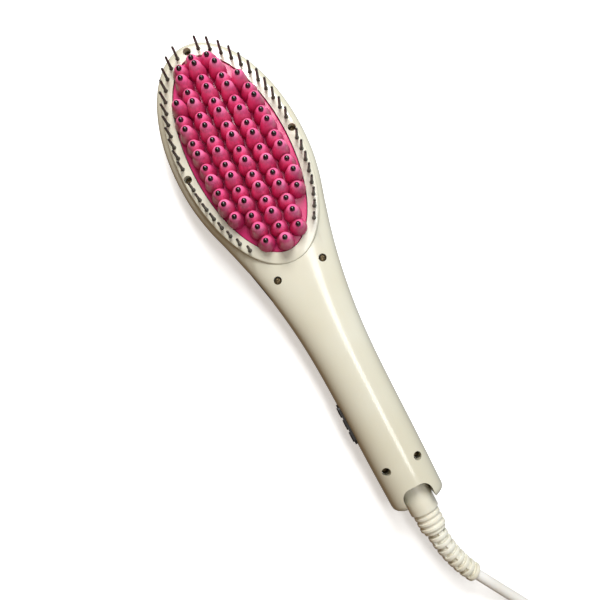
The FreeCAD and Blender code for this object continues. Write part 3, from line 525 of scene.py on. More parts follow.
def patch(along: int, across: int, bend: Callable[[float, float], Triple]) -> Form:
    """Bend a flat grid into a surface.

    Args:
        along: Steps of the grid's first way.
        across: Steps of its second way.
        bend: Gives the point for the two shares, each from zero to one.

    Returns:
        The open surface.
    """
    shape = bmesh.new()
    half = 0.5
    bmesh.ops.create_grid(shape, x_segments=along, y_segments=across, size=half)
    for vert in shape.verts:
        vert.co = bend(vert.co.x + half, vert.co.y + half)
    return shape


class Carving(Enum):
    """What becomes of two forms, by Blender's name for it."""

    CUT = "DIFFERENCE"
    JOIN = "UNION"
    KEEP = "INTERSECT"


def carve(shape: Form, tool: Form, carving: Carving = Carving.CUT) -> Form:
    """Cut one form out of another, join the two or keep what they share, with Blender's own boolean.

    Args:
        shape: The form that is worked on.
        tool: The other form.
        carving: Which of the three is done.

    Returns:
        The new form.
    """
    holders = [linked("carving", mesh_of("carving", part)) for part in (shape, tool)]
    cut = holders[0].modifiers.new("cut", "BOOLEAN")
    cut.operation = carving.value
    cut.solver = "EXACT"
    cut.object = holders[1]
    bpy.context.view_layer.update()
    done = holders[0].evaluated_get(bpy.context.evaluated_depsgraph_get())
    result = bmesh.new()
    result.from_mesh(done.to_mesh())
    done.to_mesh_clear()
    for holder in holders:
        mesh = holder.data
        bpy.data.objects.remove(holder)
        bpy.data.meshes.remove(mesh)
    return result


def place_piece(
    name: str, shape: Form, body: str, finish: Finish, replaced: Sequence[str] = (),
    smooth: float = 35.0,
) -> bpy.types.Object:
    """Make an object of a form, dress it and set it on its body.

    Args:
        name: The piece's name.
        shape: The form in millimetres.
        body: The CAD body that carries it.
        finish: The finish that it gets.
        replaced: CAD nodes that it stands for.
        smooth: Largest angle in degrees that is shaded smooth.

    Returns:
        The new object.
    """
    bmesh.ops.scale(shape, vec=(MM, MM, MM), verts=shape.verts[:])
    mesh = mesh_of(name, shape)
    shape.free()
    mesh.shade_smooth()
    mesh.set_sharp_from_angle(angle=math.radians(smooth))
    mesh.materials.append(finish.material())
    piece = linked(name, mesh)
    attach(piece, body)
    if replaced:
        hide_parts(*replaced)
    LOG.info("%s on %s, %d faces", name, body, len(mesh.polygons))
    return piece


def dress_node(node: str, finish: Finish) -> None:
    """Give a CAD node its finish.

    Args:
        node: The node's name.
        finish: The finish that it gets.
    """
    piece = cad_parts[node]
    piece.data.materials.clear()
    piece.data.materials.append(finish.material())
    LOG.info("%s dressed in %s", node, finish.name)


def upright(x: float, y: float, z: float) -> Matrix:
    """Give the place of an upright form at a point."""
    return Matrix.Translation((x, y, z))


def lengthwise(x: float, y: float, z: float) -> Matrix:
    """Give the place of a form whose upright axis is laid along the brush."""
    return Matrix.Translation((x, y, z)) @ Matrix.Rotation(math.pi / 2, 4, "Y")


# Sub-assemblies


class Side(Enum):
    """The two flanks of the brush."""

    KEYS = -1
    PLAIN = 1


@dataclass
class HeatedFace:
    """The pink cone plate with its beads, and the bristles round it.

    The cone's profile is given by steps out from the foot at shares of the height, and then by steps out from
    the waist, the top and the bead, each with its distance down from the top. The pin's is given by steps out
    from the shaft with their heights, and by steps out from the tip with their distances down from the end.
    """

    plate_x: float = -73.9
    half_length: float = 58.1
    half_width: float = 26.8
    oval_steps: int = 128
    oval_segments: int = 3
    gap: float = 0.35
    top: float = 26.2
    back: float = 21.0
    rim_round: float = 0.5
    flange_top: float = 23.0
    flange_grow: float = 0.25
    flange_round: float = 0.2
    pitch: float = 7.2
    rows: int = 16
    shift: float = -0.7
    column_pitch: float = 9.74
    side_columns: int = 2
    keep_share: float = 0.8
    draw_in: float = 2.5
    foot_radius: float = 4.1
    top_radius: float = 1.7
    foot_margin: float = 0.3
    rim_height: float = 10.0
    crown_rise: float = 4.5
    row_step: float = 1.8
    cone_root: Pair = (0.62, 0.3)
    cone_foot_shares: Profile = ((0.6, 0.17), (0.35, 0.31), (-0.3, 0.45))
    cone_waist: Profile = ((0.4, 3.2), (0.15, 2.3), (-0.2, 1.4))
    cone_shoulder: Profile = ((0.68, 0.9), (0.42, 0.55), (0.2, 0.3), (-0.02, 0.12))
    cone_dimple: Profile = ((0.12, 0.0), (0.02, 0.06), (-0.1, 0.4))
    cone_steps: int = 28
    bead_radius: float = 1.4
    bead_lift: float = 0.3
    bead_rows: int = 8
    bead_steps: int = 18
    band_front: float = 27.0
    guard_offset: float = 3.7
    guard_pitch: float = 6.28
    guard_places: int = 20
    guard_tries: int = 3
    screw_place: int = 12
    pin_length: float = 12.6
    pin_seat: float = 1.8
    pin_radius: float = 0.8
    pin_tip: float = 0.66
    pin_foot: Profile = ((0.0, -0.05), (0.35, 0.0), (0.31, 0.3), (0.12, 1.0), (0.0, 1.7))
    pin_ball: Profile = ((0.0, 0.9), (0.02, 0.6), (-0.06, 0.3), (-0.26, 0.08))
    pin_steps: int = 14

    def cone_spots(self) -> list[Triple]:
        """Find the cones.

        Returns:
            X, Y and height of each cone.
        """
        foot = self.foot_radius + self.foot_margin + self.gap
        spots = []
        for column in range(-self.side_columns, self.side_columns + 1):
            for row in range(self.rows):
                offset = self.pitch / 2 if column % 2 else 0
                x = self.plate_x + self.shift + (row - (self.rows - 1) / 2) * self.pitch + offset
                run = abs(x - self.plate_x)
                if run + foot > self.half_length + self.draw_in:
                    continue
                run = min(run, self.half_length - foot)
                x = math.copysign(run, x - self.plate_x) + self.plate_x
                reach = self.half_width * math.sqrt(1 - (run / self.half_length) ** 2) - foot
                out = abs(column) * self.column_pitch
                if reach < self.keep_share * out:
                    continue
                y = math.copysign(min(out, reach), column)
                crown = 1 - (run / self.half_length) ** 2 - (y / self.half_width) ** 2
                step = self.row_step if row % 2 else -self.row_step
                spots.append((x, y, self.rim_height + self.crown_rise * crown + step))
        return spots

    def guard_spots(self) -> list[Pair]:
        """Find the places one pitch apart along half of the guard oval.

        Returns:
            X and Y of each place, from the nose on.
        """
        half_length = self.half_length + self.guard_offset
        half_width = self.half_width + self.guard_offset
        spots = []
        angle = 0.0
        for _ in range(self.guard_places + 1):
            spots.append((self.plate_x - half_length * math.cos(angle), half_width * math.sin(angle)))
            middle = angle
            for _ in range(self.guard_tries):
                speed = math.hypot(half_length * math.sin(middle), half_width * math.cos(middle))
                middle = angle + self.guard_pitch / speed / 2
            angle += self.guard_pitch / speed
        return spots

    def pin_spots(self) -> list[Triple]:
        """Find the guard places that hold a pin and no screw.

        Returns:
            The point on the band at each of them.
        """
        screws = (0, self.screw_place)
        held = [spot for place, spot in enumerate(self.guard_spots()) if place not in screws]
        return [(x, side.value * y, self.band_front) for x, y in held for side in Side]

    def oval(self, grow: float, low: float, high: float, corner: float) -> Form:
        """Make an oval slab with a rounded upper rim.

        Args:
            grow: Offset of its edge from the plate's opening.
            low: Height of its underside.
            high: Height of its top.
            corner: Rounding of the upper rim.

        Returns:
            The slab.
        """
        shape = bmesh.new()
        bmesh.ops.create_circle(shape, cap_ends=True, radius=1.0, segments=self.oval_steps)
        size = (self.half_length + grow, self.half_width + grow, 1)
        bmesh.ops.scale(shape, vec=size, verts=shape.verts[:])
        bmesh.ops.translate(shape, vec=(self.plate_x, 0, low), verts=shape.verts[:])
        raised = bmesh.ops.extrude_face_region(shape, geom=shape.faces[:])
        bmesh.ops.translate(shape, vec=(0, 0, high - low), verts=new_verts(raised))
        middle = (low + high) / 2
        rim = [edge for edge in shape.edges if all(vert.co.z > middle for vert in edge.verts)]
        round_off(shape, rim, corner, self.oval_segments)
        tidy(shape)
        return shape

    def cone(self, height: float) -> Form:
        """Make one cone with a broad foot, a domed shoulder and a dimple for its bead.

        Args:
            height: Height of its top over the plate.

        Returns:
            The cone, standing on the origin.
        """
        foot, top = self.foot_radius, self.top_radius
        flare, sink = self.cone_root
        profile = [(foot + flare, -sink)]
        profile += [(foot + out, height * share) for out, share in self.cone_foot_shares]
        radii = ((foot + top) / 2, top, self.bead_radius)
        for radius, steps in zip(radii, (self.cone_waist, self.cone_shoulder, self.cone_dimple)):
            profile += [(radius + out, height - down) for out, down in steps]
        profile.append((0, profile[-1][1]))
        return turned(profile, self.cone_steps)

    def build_plate(self) -> None:
        """Build the cast plate with its flange and cones."""
        shape = self.oval(-self.gap, self.back, self.top, self.rim_round)
        add_shape(shape, self.oval(self.flange_grow, self.back, self.flange_top, self.flange_round))
        for x, y, height in self.cone_spots():
            add_shape(shape, self.cone(height), upright(x, y, self.top))
        place_piece("cone_plate", shape, "brush", PINK_ENAMEL, ["heater_plate"], smooth=40.0)

    def build_beads(self) -> None:
        """Build the bead on each cone."""
        low = -math.asin(self.bead_lift / self.bead_radius)
        profile = [(0.0, 0.0)]
        for step in range(self.bead_rows + 1):
            angle = low + (math.pi / 2 - low) * step / self.bead_rows
            rise = self.bead_lift + self.bead_radius * math.sin(angle)
            profile.append((max(self.bead_radius * math.cos(angle), 0.0), rise))
        tips = [(x, y, self.top + height) for x, y, height in self.cone_spots()]
        shape = repeated(turned(profile, self.bead_steps), tips)
        place_piece("cone_beads", shape, "brush", BLACK_BEAD, ["cone_tips"], smooth=60.0)

    def build_bristles(self) -> None:
        """Build the guard bristles with their flared feet and ball tips."""
        length, shaft, tip = self.pin_length, self.pin_radius, self.pin_tip
        profile = [(0, -self.pin_seat), (shaft, -self.pin_seat)]
        profile += [(shaft + out, height) for out, height in self.pin_foot]
        profile.append(((shaft + tip) / 2, length / 2))
        profile += [(tip + out, length - down) for out, down in self.pin_ball]
        shape = repeated(turned([*profile, (0, length)], self.pin_steps), self.pin_spots())
        place_piece("guard_pins", shape, "brush", DARK_NYLON, ["guard_bristles"], smooth=45.0)

    def build(self) -> None:
        """Build all pieces of the heated face."""
        self.build_plate()
        self.build_beads()
        self.build_bristles()


class Half(Enum):
    """The two halves of the casing, by the way that they face."""

    FRONT = 1
    BACK = -1


@dataclass
class Casing:
    """The two halves of the casing and the screws that join them.

    The stations run evenly from the widest one to the end of the grip. Each has its share of the widening, of
    the rise of the front and of the arch of the back. Slabs and windows have a length, a height and a corner
    radius, and the notch has a depth, a half width and a corner radius.
    """

    face: HeatedFace
    station_shares: tuple[Triple, ...] = (
        (1.000, 0.000, 0.000), (0.968, 0.002, 0.017), (0.850, 0.013, 0.082), (0.658, 0.049, 0.223),
        (0.477, 0.118, 0.419), (0.326, 0.234, 0.628), (0.209, 0.401, 0.817), (0.120, 0.587, 0.941),
        (0.062, 0.751, 0.971), (0.031, 0.870, 0.896), (0.015, 0.945, 0.696), (0.006, 0.981, 0.432),
        (-0.002, 0.994, 0.201), (-0.014, 0.991, 0.076), (-0.030, 0.980, 0.000),
    )
    nose_length: float = 68.0
    widest_x: float = -76.0
    end_x: float = 128.0
    end_corner: float = 3.0
    head_half: float = 36.9
    grip_half: float = 15.0
    parting: float = PARTING_HEIGHT
    head_front: float = 26.0
    grip_front: float = 29.0
    back_arch: float = 2.0
    rest_cut: float = 0.6
    front_power: float = 4.0
    back_power: float = 2.5
    grip_power: float = 2.3
    wall: float = 2.2
    quarter_steps: int = 24
    station_steps: int = 4
    corner_steps: int = 4
    reach: float = 60.0
    half_space: float = 480.0
    overlap: float = 0.1
    band_width: float = 6.4
    band_low: float = 22.0
    band_round: float = 0.8
    opening_round: float = 0.5
    ceiling: float = 23.8
    ceiling_round: float = 0.05
    flange_width: float = 2.55
    pin_gap: float = 0.05
    boss_radius: float = 3.4
    well_radius: float = 2.15
    well_floor: float = 2.2
    well_steps: int = 40
    shank_gap: float = 0.2
    bulkhead: Pair = (114.0, 118.0)
    bulkhead_bore: float = 5.46
    bulkhead_reach: float = 9.0
    bulkhead_steps: int = 48
    notch: Triple = (9.8, 7.9, 5.0)
    notch_segments: int = 8
    barrel_room: Pair = (0.2, 15.0)
    barrel_steps: int = 64
    slab_segments: int = 5
    bezel_middle: Pair = (KEYS_X, -15.9)
    bezel_size: Triple = (22.5, 9.2, 3.0)
    bezel_seat: float = 3.8
    bezel_rim: float = 1.2
    lens_middle: Pair = (-6.3, -22.845)
    lens_turn: float = 11.83
    lens_size: Triple = (21.6, 8.6, 2.0)
    lens_depth: float = 1.75
    lens_ledge: float = 1.5
    ledge_corner: float = 0.5
    neck_screw: Triple = (-4.6, 13.0, 23.2)
    grip_screw: Triple = (106.0, 8.8, 18.0)
    band_seat: float = 22.4
    head_height: float = 1.5
    head_dome: Profile = ((0.0, 0.0), (0.9, 0.02), (1.5, 0.22), (1.87, 0.7), (1.95, 1.0))
    shank_radius: float = 1.2
    screw_length: float = 9.0
    screw_tip: Pair = (0.3, 0.9)
    screw_steps: int = 28
    recess: Triple = (2.3, 0.55, 0.8)
    head_turn: float = 0.7

    def shares(self, run: float) -> Triple:
        """Interpolate the stations smoothly, by a Catmull-Rom spline.

        Args:
            run: Place along the stations, counted in stations.

        Returns:
            The three shares there.
        """
        rows = self.station_shares
        low = min(int(run), len(rows) - 2)
        rest = run - low
        picked = (rows[abs(low - 1)], rows[low], rows[low + 1], rows[min(low + 2, len(rows) - 1)])
        width, front, arch = (
            b + rest / 2 * (c - a + rest * (2 * a - 5 * b + 4 * c - d + rest * (3 * (b - c) + d - a)))
            for a, b, c, d in zip(*picked))
        return width, front, arch

    def section_point(self, run: float, angle: float, half: Half, inset: float) -> Pair:
        """Find a point of a superelliptic half section.

        Args:
            run: Place along the stations.
            angle: Zero at the plain flank and pi at the flank with keys.
            half: Half of the casing.
            inset: Distance in from the skin.

        Returns:
            Y and Z of the point.
        """
        width, front, arch = self.shares(run)
        out = self.grip_half + width * (self.head_half - self.grip_half) - inset
        if half is Half.FRONT:
            rise = self.head_front + front * (self.grip_front - self.head_front) - self.parting
            swollen = self.front_power
        else:
            rise = self.parting + self.rest_cut - arch * self.back_arch
            swollen = self.back_power
        power = self.grip_power + max(width, 0.0) * (swollen - self.grip_power)
        cosine = math.cos(angle)
        across = math.copysign(abs(cosine) ** (2 / power), cosine)
        up = max(math.sin(angle), 0.0) ** (2 / power)
        return out * across, self.parting + half.value * (rise - inset) * up

    def skin(self, inset: float, rounded: bool) -> Form:
        """Make the casing's form: a nose turned about the widest station and a lofted neck and grip.

        Args:
            inset: Distance in from the skin.
            rounded: Whether the end of the grip is rounded off.

        Returns:
            The closed form.
        """
        last = len(self.station_shares) - 1
        stop = self.end_x - self.end_corner
        stretch = (self.nose_length - inset) / (self.head_half - inset)
        shape = bmesh.new()
        for half in Half:
            def nose(turn: float, rise: float, half: Half = half) -> Triple:
                """Find a point of the nose by its shares of the half turn and of the rise."""
                out, z = self.section_point(0, rise * math.pi / 2, half, inset)
                x = self.widest_x - stretch * out * math.sin(turn * math.pi)
                return x, out * math.cos(turn * math.pi), z

            def neck(run: float, turn: float, half: Half = half) -> Triple:
                """Find a point of the neck and grip by its shares of the run and of the half turn."""
                y, z = self.section_point(run * last, turn * math.pi, half, inset)
                return self.widest_x + run * (stop - self.widest_x), y, z

            def end(run: float, turn: float, half: Half = half) -> Triple:
                """Find a point of the rounded end by its shares of the rounding and of the half turn."""
                drawn = self.end_corner * (1 - math.cos(run * math.pi / 2))
                y, z = self.section_point(last, turn * math.pi, half, inset + drawn)
                return stop + self.end_corner * math.sin(run * math.pi / 2), y, z

            add_shape(shape, patch(2 * self.quarter_steps, self.quarter_steps, nose))
            add_shape(shape, patch(self.station_steps * last, 2 * self.quarter_steps, neck))
            if rounded:
                add_shape(shape, patch(self.corner_steps, 2 * self.quarter_steps, end))
        tidy(shape)
        bmesh.ops.holes_fill(shape, edges=[edge for edge in shape.edges if edge.is_boundary])
        bmesh.ops.recalc_face_normals(shape, faces=shape.faces[:])
        return shape

    def slab(self, size: Triple, depth: Pair, place: Matrix) -> Form:
        """Make a block with rounded corners that goes into the flank.

        Args:
            size: Length, height and corner radius.
            depth: Where it starts and ends, counted inwards.
            place: Where its middle lies.

        Returns:
            The block.
        """
        length, height, corner = size
        start, stop = depth
        shape = box((length, stop - start, height), (0, (start + stop) / 2, 0))
        round_off(shape, running(shape, 1), corner, self.slab_segments)
        return moved(shape, place)

    def flank_places(self) -> tuple[Matrix, Matrix]:
        """Find the places on the flank.

        Returns:
            The places of the bezel and of the lens.
        """
        bezel = Matrix.Translation((*self.bezel_middle, self.parting))
        lens = Matrix.Translation((*self.lens_middle, self.parting))
        return bezel, lens @ Matrix.Rotation(math.radians(self.lens_turn), 4, "Z")

    def grown(self) -> Form:
        """Make the screw bosses and the cross wall that carries the collar.

        Returns:
            What grows from the wall, ending inside it.
        """
        low, high = self.bulkhead
        middle = (low + high) / 2
        plate = box((high - low, self.reach, self.reach), (middle, 0, self.parting))
        bore = rod(self.bulkhead_bore, -self.bulkhead_reach, self.bulkhead_reach, self.bulkhead_steps)
        shape = carve(plate, moved(bore, lengthwise(middle, 0, self.parting)))
        for x, y, seat in self.screw_spots():
            boss = rod(self.boss_radius, seat - self.well_floor, self.reach, self.well_steps)
            add_shape(shape, boss, upright(x, y, 0))
        return carve(shape, self.skin(self.wall / 2, False), Carving.KEEP)

    def wide_cuts(self) -> Form:
        """Make the cuts behind the openings.

        Returns:
            The room for the plate's flange, the bezel's flange, the display and the collar's barrel.
        """
        bezel, lens = self.flank_places()
        shape = self.face.oval(
            self.flange_width, self.parting + self.wall, self.ceiling, self.ceiling_round)
        length, height, corner = self.bezel_size
        rim = self.bezel_rim
        flange = (length + 2 * rim, height + 2 * rim, corner + rim)
        add_shape(shape, self.slab(flange, (self.bezel_seat, 2 * self.bezel_seat), bezel))
        length, height, _ = self.lens_size
        ledge = 2 * self.lens_ledge
        window = (length - ledge, height - ledge, self.ledge_corner)
        add_shape(shape, self.slab(window, (-self.wall, 2 * self.wall), lens))
        barrel = rod(self.notch[1], *self.barrel_room, self.barrel_steps)
        add_shape(shape, barrel, lengthwise(self.bulkhead[1], 0, self.parting))
        return shape

    def openings(self) -> Form:
        """Make the cuts that show.

        Returns:
            The plate's opening, wells, pin seats, windows and the notch over the collar.
        """
        bezel, lens = self.flank_places()
        face = self.face
        shape = face.oval(0, self.parting, self.reach, self.opening_round)
        shank = self.shank_radius + self.shank_gap
        for x, y, seat in self.screw_spots():
            floor = seat - 2 * self.well_floor
            add_shape(shape, turned([
                (0, floor), (shank, floor), (shank, seat), (self.well_radius, seat),
                (self.well_radius, self.reach), (0, self.reach),
            ], self.well_steps), upright(x, y, 0))
        pin = rod(face.pin_radius + self.pin_gap, -face.pin_seat, face.pin_seat, face.pin_steps)
        add_shape(shape, repeated(pin, face.pin_spots()))
        add_shape(shape, self.slab(self.bezel_size, (-self.wall, self.bezel_seat + self.overlap), bezel))
        add_shape(shape, self.slab(self.lens_size, (-self.wall, self.lens_depth), lens))
        depth, half_width, corner = self.notch
        middle = (self.end_x, 0, self.parting + self.reach / 2)
        mouth = box((2 * depth, 2 * half_width, self.reach), middle)
        posts = [edge for edge in running(mouth, 2) if edge.verts[0].co.x < self.end_x]
        round_off(mouth, posts, corner, self.notch_segments)
        add_shape(shape, mouth)
        return shape

    def build_halves(self) -> None:
        """Build the hollow casing with its band, bosses and openings, and part it into its halves."""
        whole = self.skin(0, True)
        hollow = self.skin(self.wall, False)
        bmesh.ops.reverse_faces(hollow, faces=hollow.faces[:])
        add_shape(whole, hollow)
        band = self.face.oval(self.band_width, self.band_low, self.face.band_front, self.band_round)
        whole = carve(whole, band, Carving.JOIN)
        whole = carve(whole, self.grown(), Carving.JOIN)
        whole = carve(whole, self.wide_cuts())
        whole = carve(whole, self.openings())
        size = (self.half_space, self.half_space, self.reach)
        below = box(size, (0, 0, self.parting - self.reach / 2))
        place_piece("casing_front", carve(whole, below), "brush", IVORY_ABS, ["front_shell"])
        beyond = box(size, (0, 0, self.parting + self.reach / 2))
        add_shape(beyond, box(size, (0, 0, -self.reach / 2)))
        place_piece("casing_back", carve(whole, beyond), "brush", IVORY_ABS, ["back_shell"])

    def screw_spots(self) -> list[Triple]:
        """Find the screws.

        Returns:
            X, Y and seat height of each screw.
        """
        spots = self.face.guard_spots()
        found = [(spots[0][0], 0.0, self.band_seat)]
        for side in Side:
            band_screw = (*spots[self.face.screw_place], self.band_seat)
            for x, out, seat in (self.neck_screw, self.grip_screw, band_screw):
                found.append((x, side.value * out, seat))
        return found

    def screw(self) -> Form:
        """Make a pan-headed screw with a cross recess.

        Returns:
            The screw, its seat at the origin.
        """
        head, end = self.head_height, -self.screw_length
        tip_radius, tip_length = self.screw_tip
        profile = [(radius, head - down) for radius, down in self.head_dome]
        profile += [
            (self.head_dome[-1][0], 0), (self.shank_radius, 0), (self.shank_radius, end + tip_length),
            (tip_radius, end), (0, end),
        ]
        shape = turned(profile, self.screw_steps)
        length, width, depth = self.recess
        for turn in (0.0, math.pi / 2):
            bar = box((length, width, 2 * depth), (0, 0, head))
            shape = carve(shape, moved(bar, Matrix.Rotation(turn, 4, "Z")))
        return shape

    def build(self) -> None:
        """Build the halves and the screws."""
        screw = self.screw()
        shape = bmesh.new()
        for number, (x, y, seat) in enumerate(self.screw_spots()):
            add_shape(shape, screw, upright(x, y, seat) @ Matrix.Rotation(number * self.head_turn, 4, "Z"))
        place_piece("cross_screws", shape, "brush", BLACK_STEEL, ["case_screws"])
        self.build_halves()


class KeyMark(Enum):
    """The sign on each key, by the key's body, in the keys' order from the neck."""

    PLUS = "plus_key"
    MINUS = "minus_key"
    POWER = "power_key"


@dataclass
class Controls:
    """The bezel with its keys, and the display window."""

    middle_x: float = KEYS_X
    pitch: float = 6.95
    height: float = PARTING_HEIGHT
    face_y: float = -16.589
    ink: float = 0.06
    stroke: float = 0.42
    reach: float = 2.2
    ring_steps: int = 32
    gap_strokes: float = 2.2
    bar_share: float = 0.62
    rise_share: float = 0.36

    def bar(self, across: float, up: float, middle: float = 0.0) -> Form:
        """Make one bar of ink by its width, its height and the height of its middle."""
        return box((across, up, self.ink), (0, middle, self.ink / 2))

    def mark(self, sign: KeyMark) -> Form:
        """Make the sign of a key, flat on the key's face.

        Args:
            sign: Which sign.

        Returns:
            The sign.
        """
        x = self.middle_x + self.pitch * (list(KeyMark).index(sign) - 1)
        shape = bmesh.new()
        if sign is KeyMark.POWER:
            outer = self.reach / 2
            inner = outer - self.stroke
            ring = turned([(outer, 0), (outer, self.ink), (inner, self.ink), (inner, 0)], self.ring_steps)
            gap = box((self.stroke * self.gap_strokes, self.reach, 4 * self.ink), (0, outer, 0))
            add_shape(shape, carve(ring, gap))
            add_shape(shape, self.bar(self.stroke, self.reach * self.bar_share, self.reach * self.rise_share))
        else:
            add_shape(shape, self.bar(self.reach, self.stroke))
        if sign is KeyMark.PLUS:
            add_shape(shape, self.bar(self.stroke, self.reach))
        moved(shape, upright(x, self.face_y, self.height) @ Matrix.Rotation(math.pi / 2, 4, "X"))
        bmesh.ops.recalc_face_normals(shape, faces=shape.faces[:])
        return shape

    def build(self) -> None:
        """Dress the bezel, keys and window and print the keys' signs."""
        dress_node("key_bezel", BLACK_TRIM)
        dress_node("display_lens", SMOKED_ACRYLIC)
        for sign in KeyMark:
            dress_node(sign.value, KEY_PLASTIC)
            place_piece(sign.value + "_mark", self.mark(sign), sign.value, KEY_INK)


@dataclass
class CordOutlet:
    """The swivelling collar and the bent strain relief behind it.

    The hub and the barrel have a start, a radius and an end along the brush, the flange has a radius and an
    end, and the sleeve's root has a radius and a length.
    """

    axis_height: float = PARTING_HEIGHT
    hub: Triple = (107.75, 3.4, 114.25)
    flange: Pair = (7.2, 117.75)
    groove_radius: float = 5.4
    barrel: Triple = (118.25, 7.6, 134.6)
    end_x: float = 144.0
    rib_radius: float = 6.9
    root_radius: float = 6.2
    ribs: int = 3
    collar_round: float = 0.35
    collar_steps: int = 72
    relief_length: float = 32.0
    bend_radius: float = 60.0
    droop: float = 20.0
    sleeve_root: Pair = (5.9, 2.0)
    sleeve_rib: float = 5.4
    sleeve_end: float = 4.9
    sleeve_rib_length: float = 1.9
    sleeve_ribs: int = 8
    sleeve_round: float = 0.3
    sleeve_steps: int = 40
    sleeve_core: float = 3.5
    root_overlap: float = 0.5
    core_start: float = 0.3
    core_setback: float = 0.1
    core_rows: int = 24
    core_steps: int = 32
    rib_sink: float = 0.4
    web_width: float = 3.0
    web_sink: float = 0.4
    web_segments: int = 2

    def build_collar(self) -> None:
        """Build the collar with rounded ring ribs."""
        hub_x, hub_radius, flange_x = self.hub
        flange_radius, groove_x = self.flange
        barrel_x, barrel_radius, ribs_x = self.barrel
        profile = [
            (0, hub_x), (hub_radius, hub_x), (hub_radius, flange_x), (flange_radius, flange_x),
            (flange_radius, groove_x), (self.groove_radius, groove_x), (self.groove_radius, barrel_x),
            (barrel_radius, barrel_x), (barrel_radius, ribs_x),
        ]
        pitch = (self.end_x - ribs_x) / (2 * self.ribs)
        root, rib = self.root_radius, self.rib_radius
        for number in range(self.ribs):
            start = ribs_x + 2 * number * pitch
            profile += [(root, start), (root, start + pitch), (rib, start + pitch), (rib, start + 2 * pitch)]
        shape = turned([*profile, (0, self.end_x)], self.collar_steps, self.collar_round)
        moved(shape, lengthwise(0, 0, self.axis_height))
        place_piece("turned_collar", shape, "swivel", IVORY_SOFT, ["swivel_collar"], smooth=50.0)

    def bend(self, shape: Form) -> None:
        """Bend a form that stands along Z round the strain relief's arc.

        Args:
            shape: The form, its height the run from the collar.
        """
        droop = math.radians(self.droop)
        towards = Vector((0, math.cos(droop), -math.sin(droop)))
        along = Vector((1, 0, 0))
        across = along.cross(towards)
        root = Vector((self.end_x, 0, self.axis_height))
        for vert in shape.verts:
            angle = vert.co.z / self.bend_radius
            middle = along * (self.bend_radius * math.sin(angle))
            middle += towards * (self.bend_radius * (1 - math.cos(angle)))
            inward = towards * math.cos(angle) - along * math.sin(angle)
            vert.co = root + middle + inward * vert.co.x + across * vert.co.y

    def build_relief(self) -> None:
        """Build the slotted sleeve: a root, a core, and ribs joined by webs that change sides."""
        radius, length = self.sleeve_root
        core, end = self.sleeve_core, self.relief_length - self.core_setback
        inside = core - self.rib_sink
        shape = turned(
            [(0, 0), (radius, 0), (radius, length), (core, length), (core, length + self.root_overlap)],
            self.sleeve_steps, self.sleeve_round)
        rows = [self.relief_length * row / self.core_rows for row in range(1, self.core_rows)]
        profile = [(core, run) for run in (self.core_start, *rows, end)]
        add_shape(shape, turned([*profile, (0, end)], self.core_steps))
        pitch = (self.relief_length - length) / self.sleeve_ribs
        for rib in range(1, self.sleeve_ribs + 1):
            run = length + rib * pitch
            low = run - self.sleeve_rib_length
            reach = self.sleeve_rib + rib / self.sleeve_ribs * (self.sleeve_end - self.sleeve_rib)
            profile = [(inside, low), (reach, low), (reach, run), (inside, run)]
            add_shape(shape, turned(profile, self.sleeve_steps, self.sleeve_round))
            across = 2 * (reach - self.web_sink)
            sides = (self.web_width, across) if rib % 2 else (across, self.web_width)
            web = box((*sides, pitch), (0, 0, run - pitch / 2))
            round_off(web, running(web, 2), self.sleeve_round, self.web_segments)
            add_shape(shape, web)
        bmesh.ops.recalc_face_normals(shape, faces=shape.faces[:])
        self.bend(shape)
        place_piece(
            "slotted_sleeve", shape, "brush", IVORY_SOFT, ["strain_relief"], smooth=45.0)

    def build(self) -> None:
        """Build the outlet."""
        self.build_collar()
        self.build_relief()
        dress_node("slip_rings", BRASS)


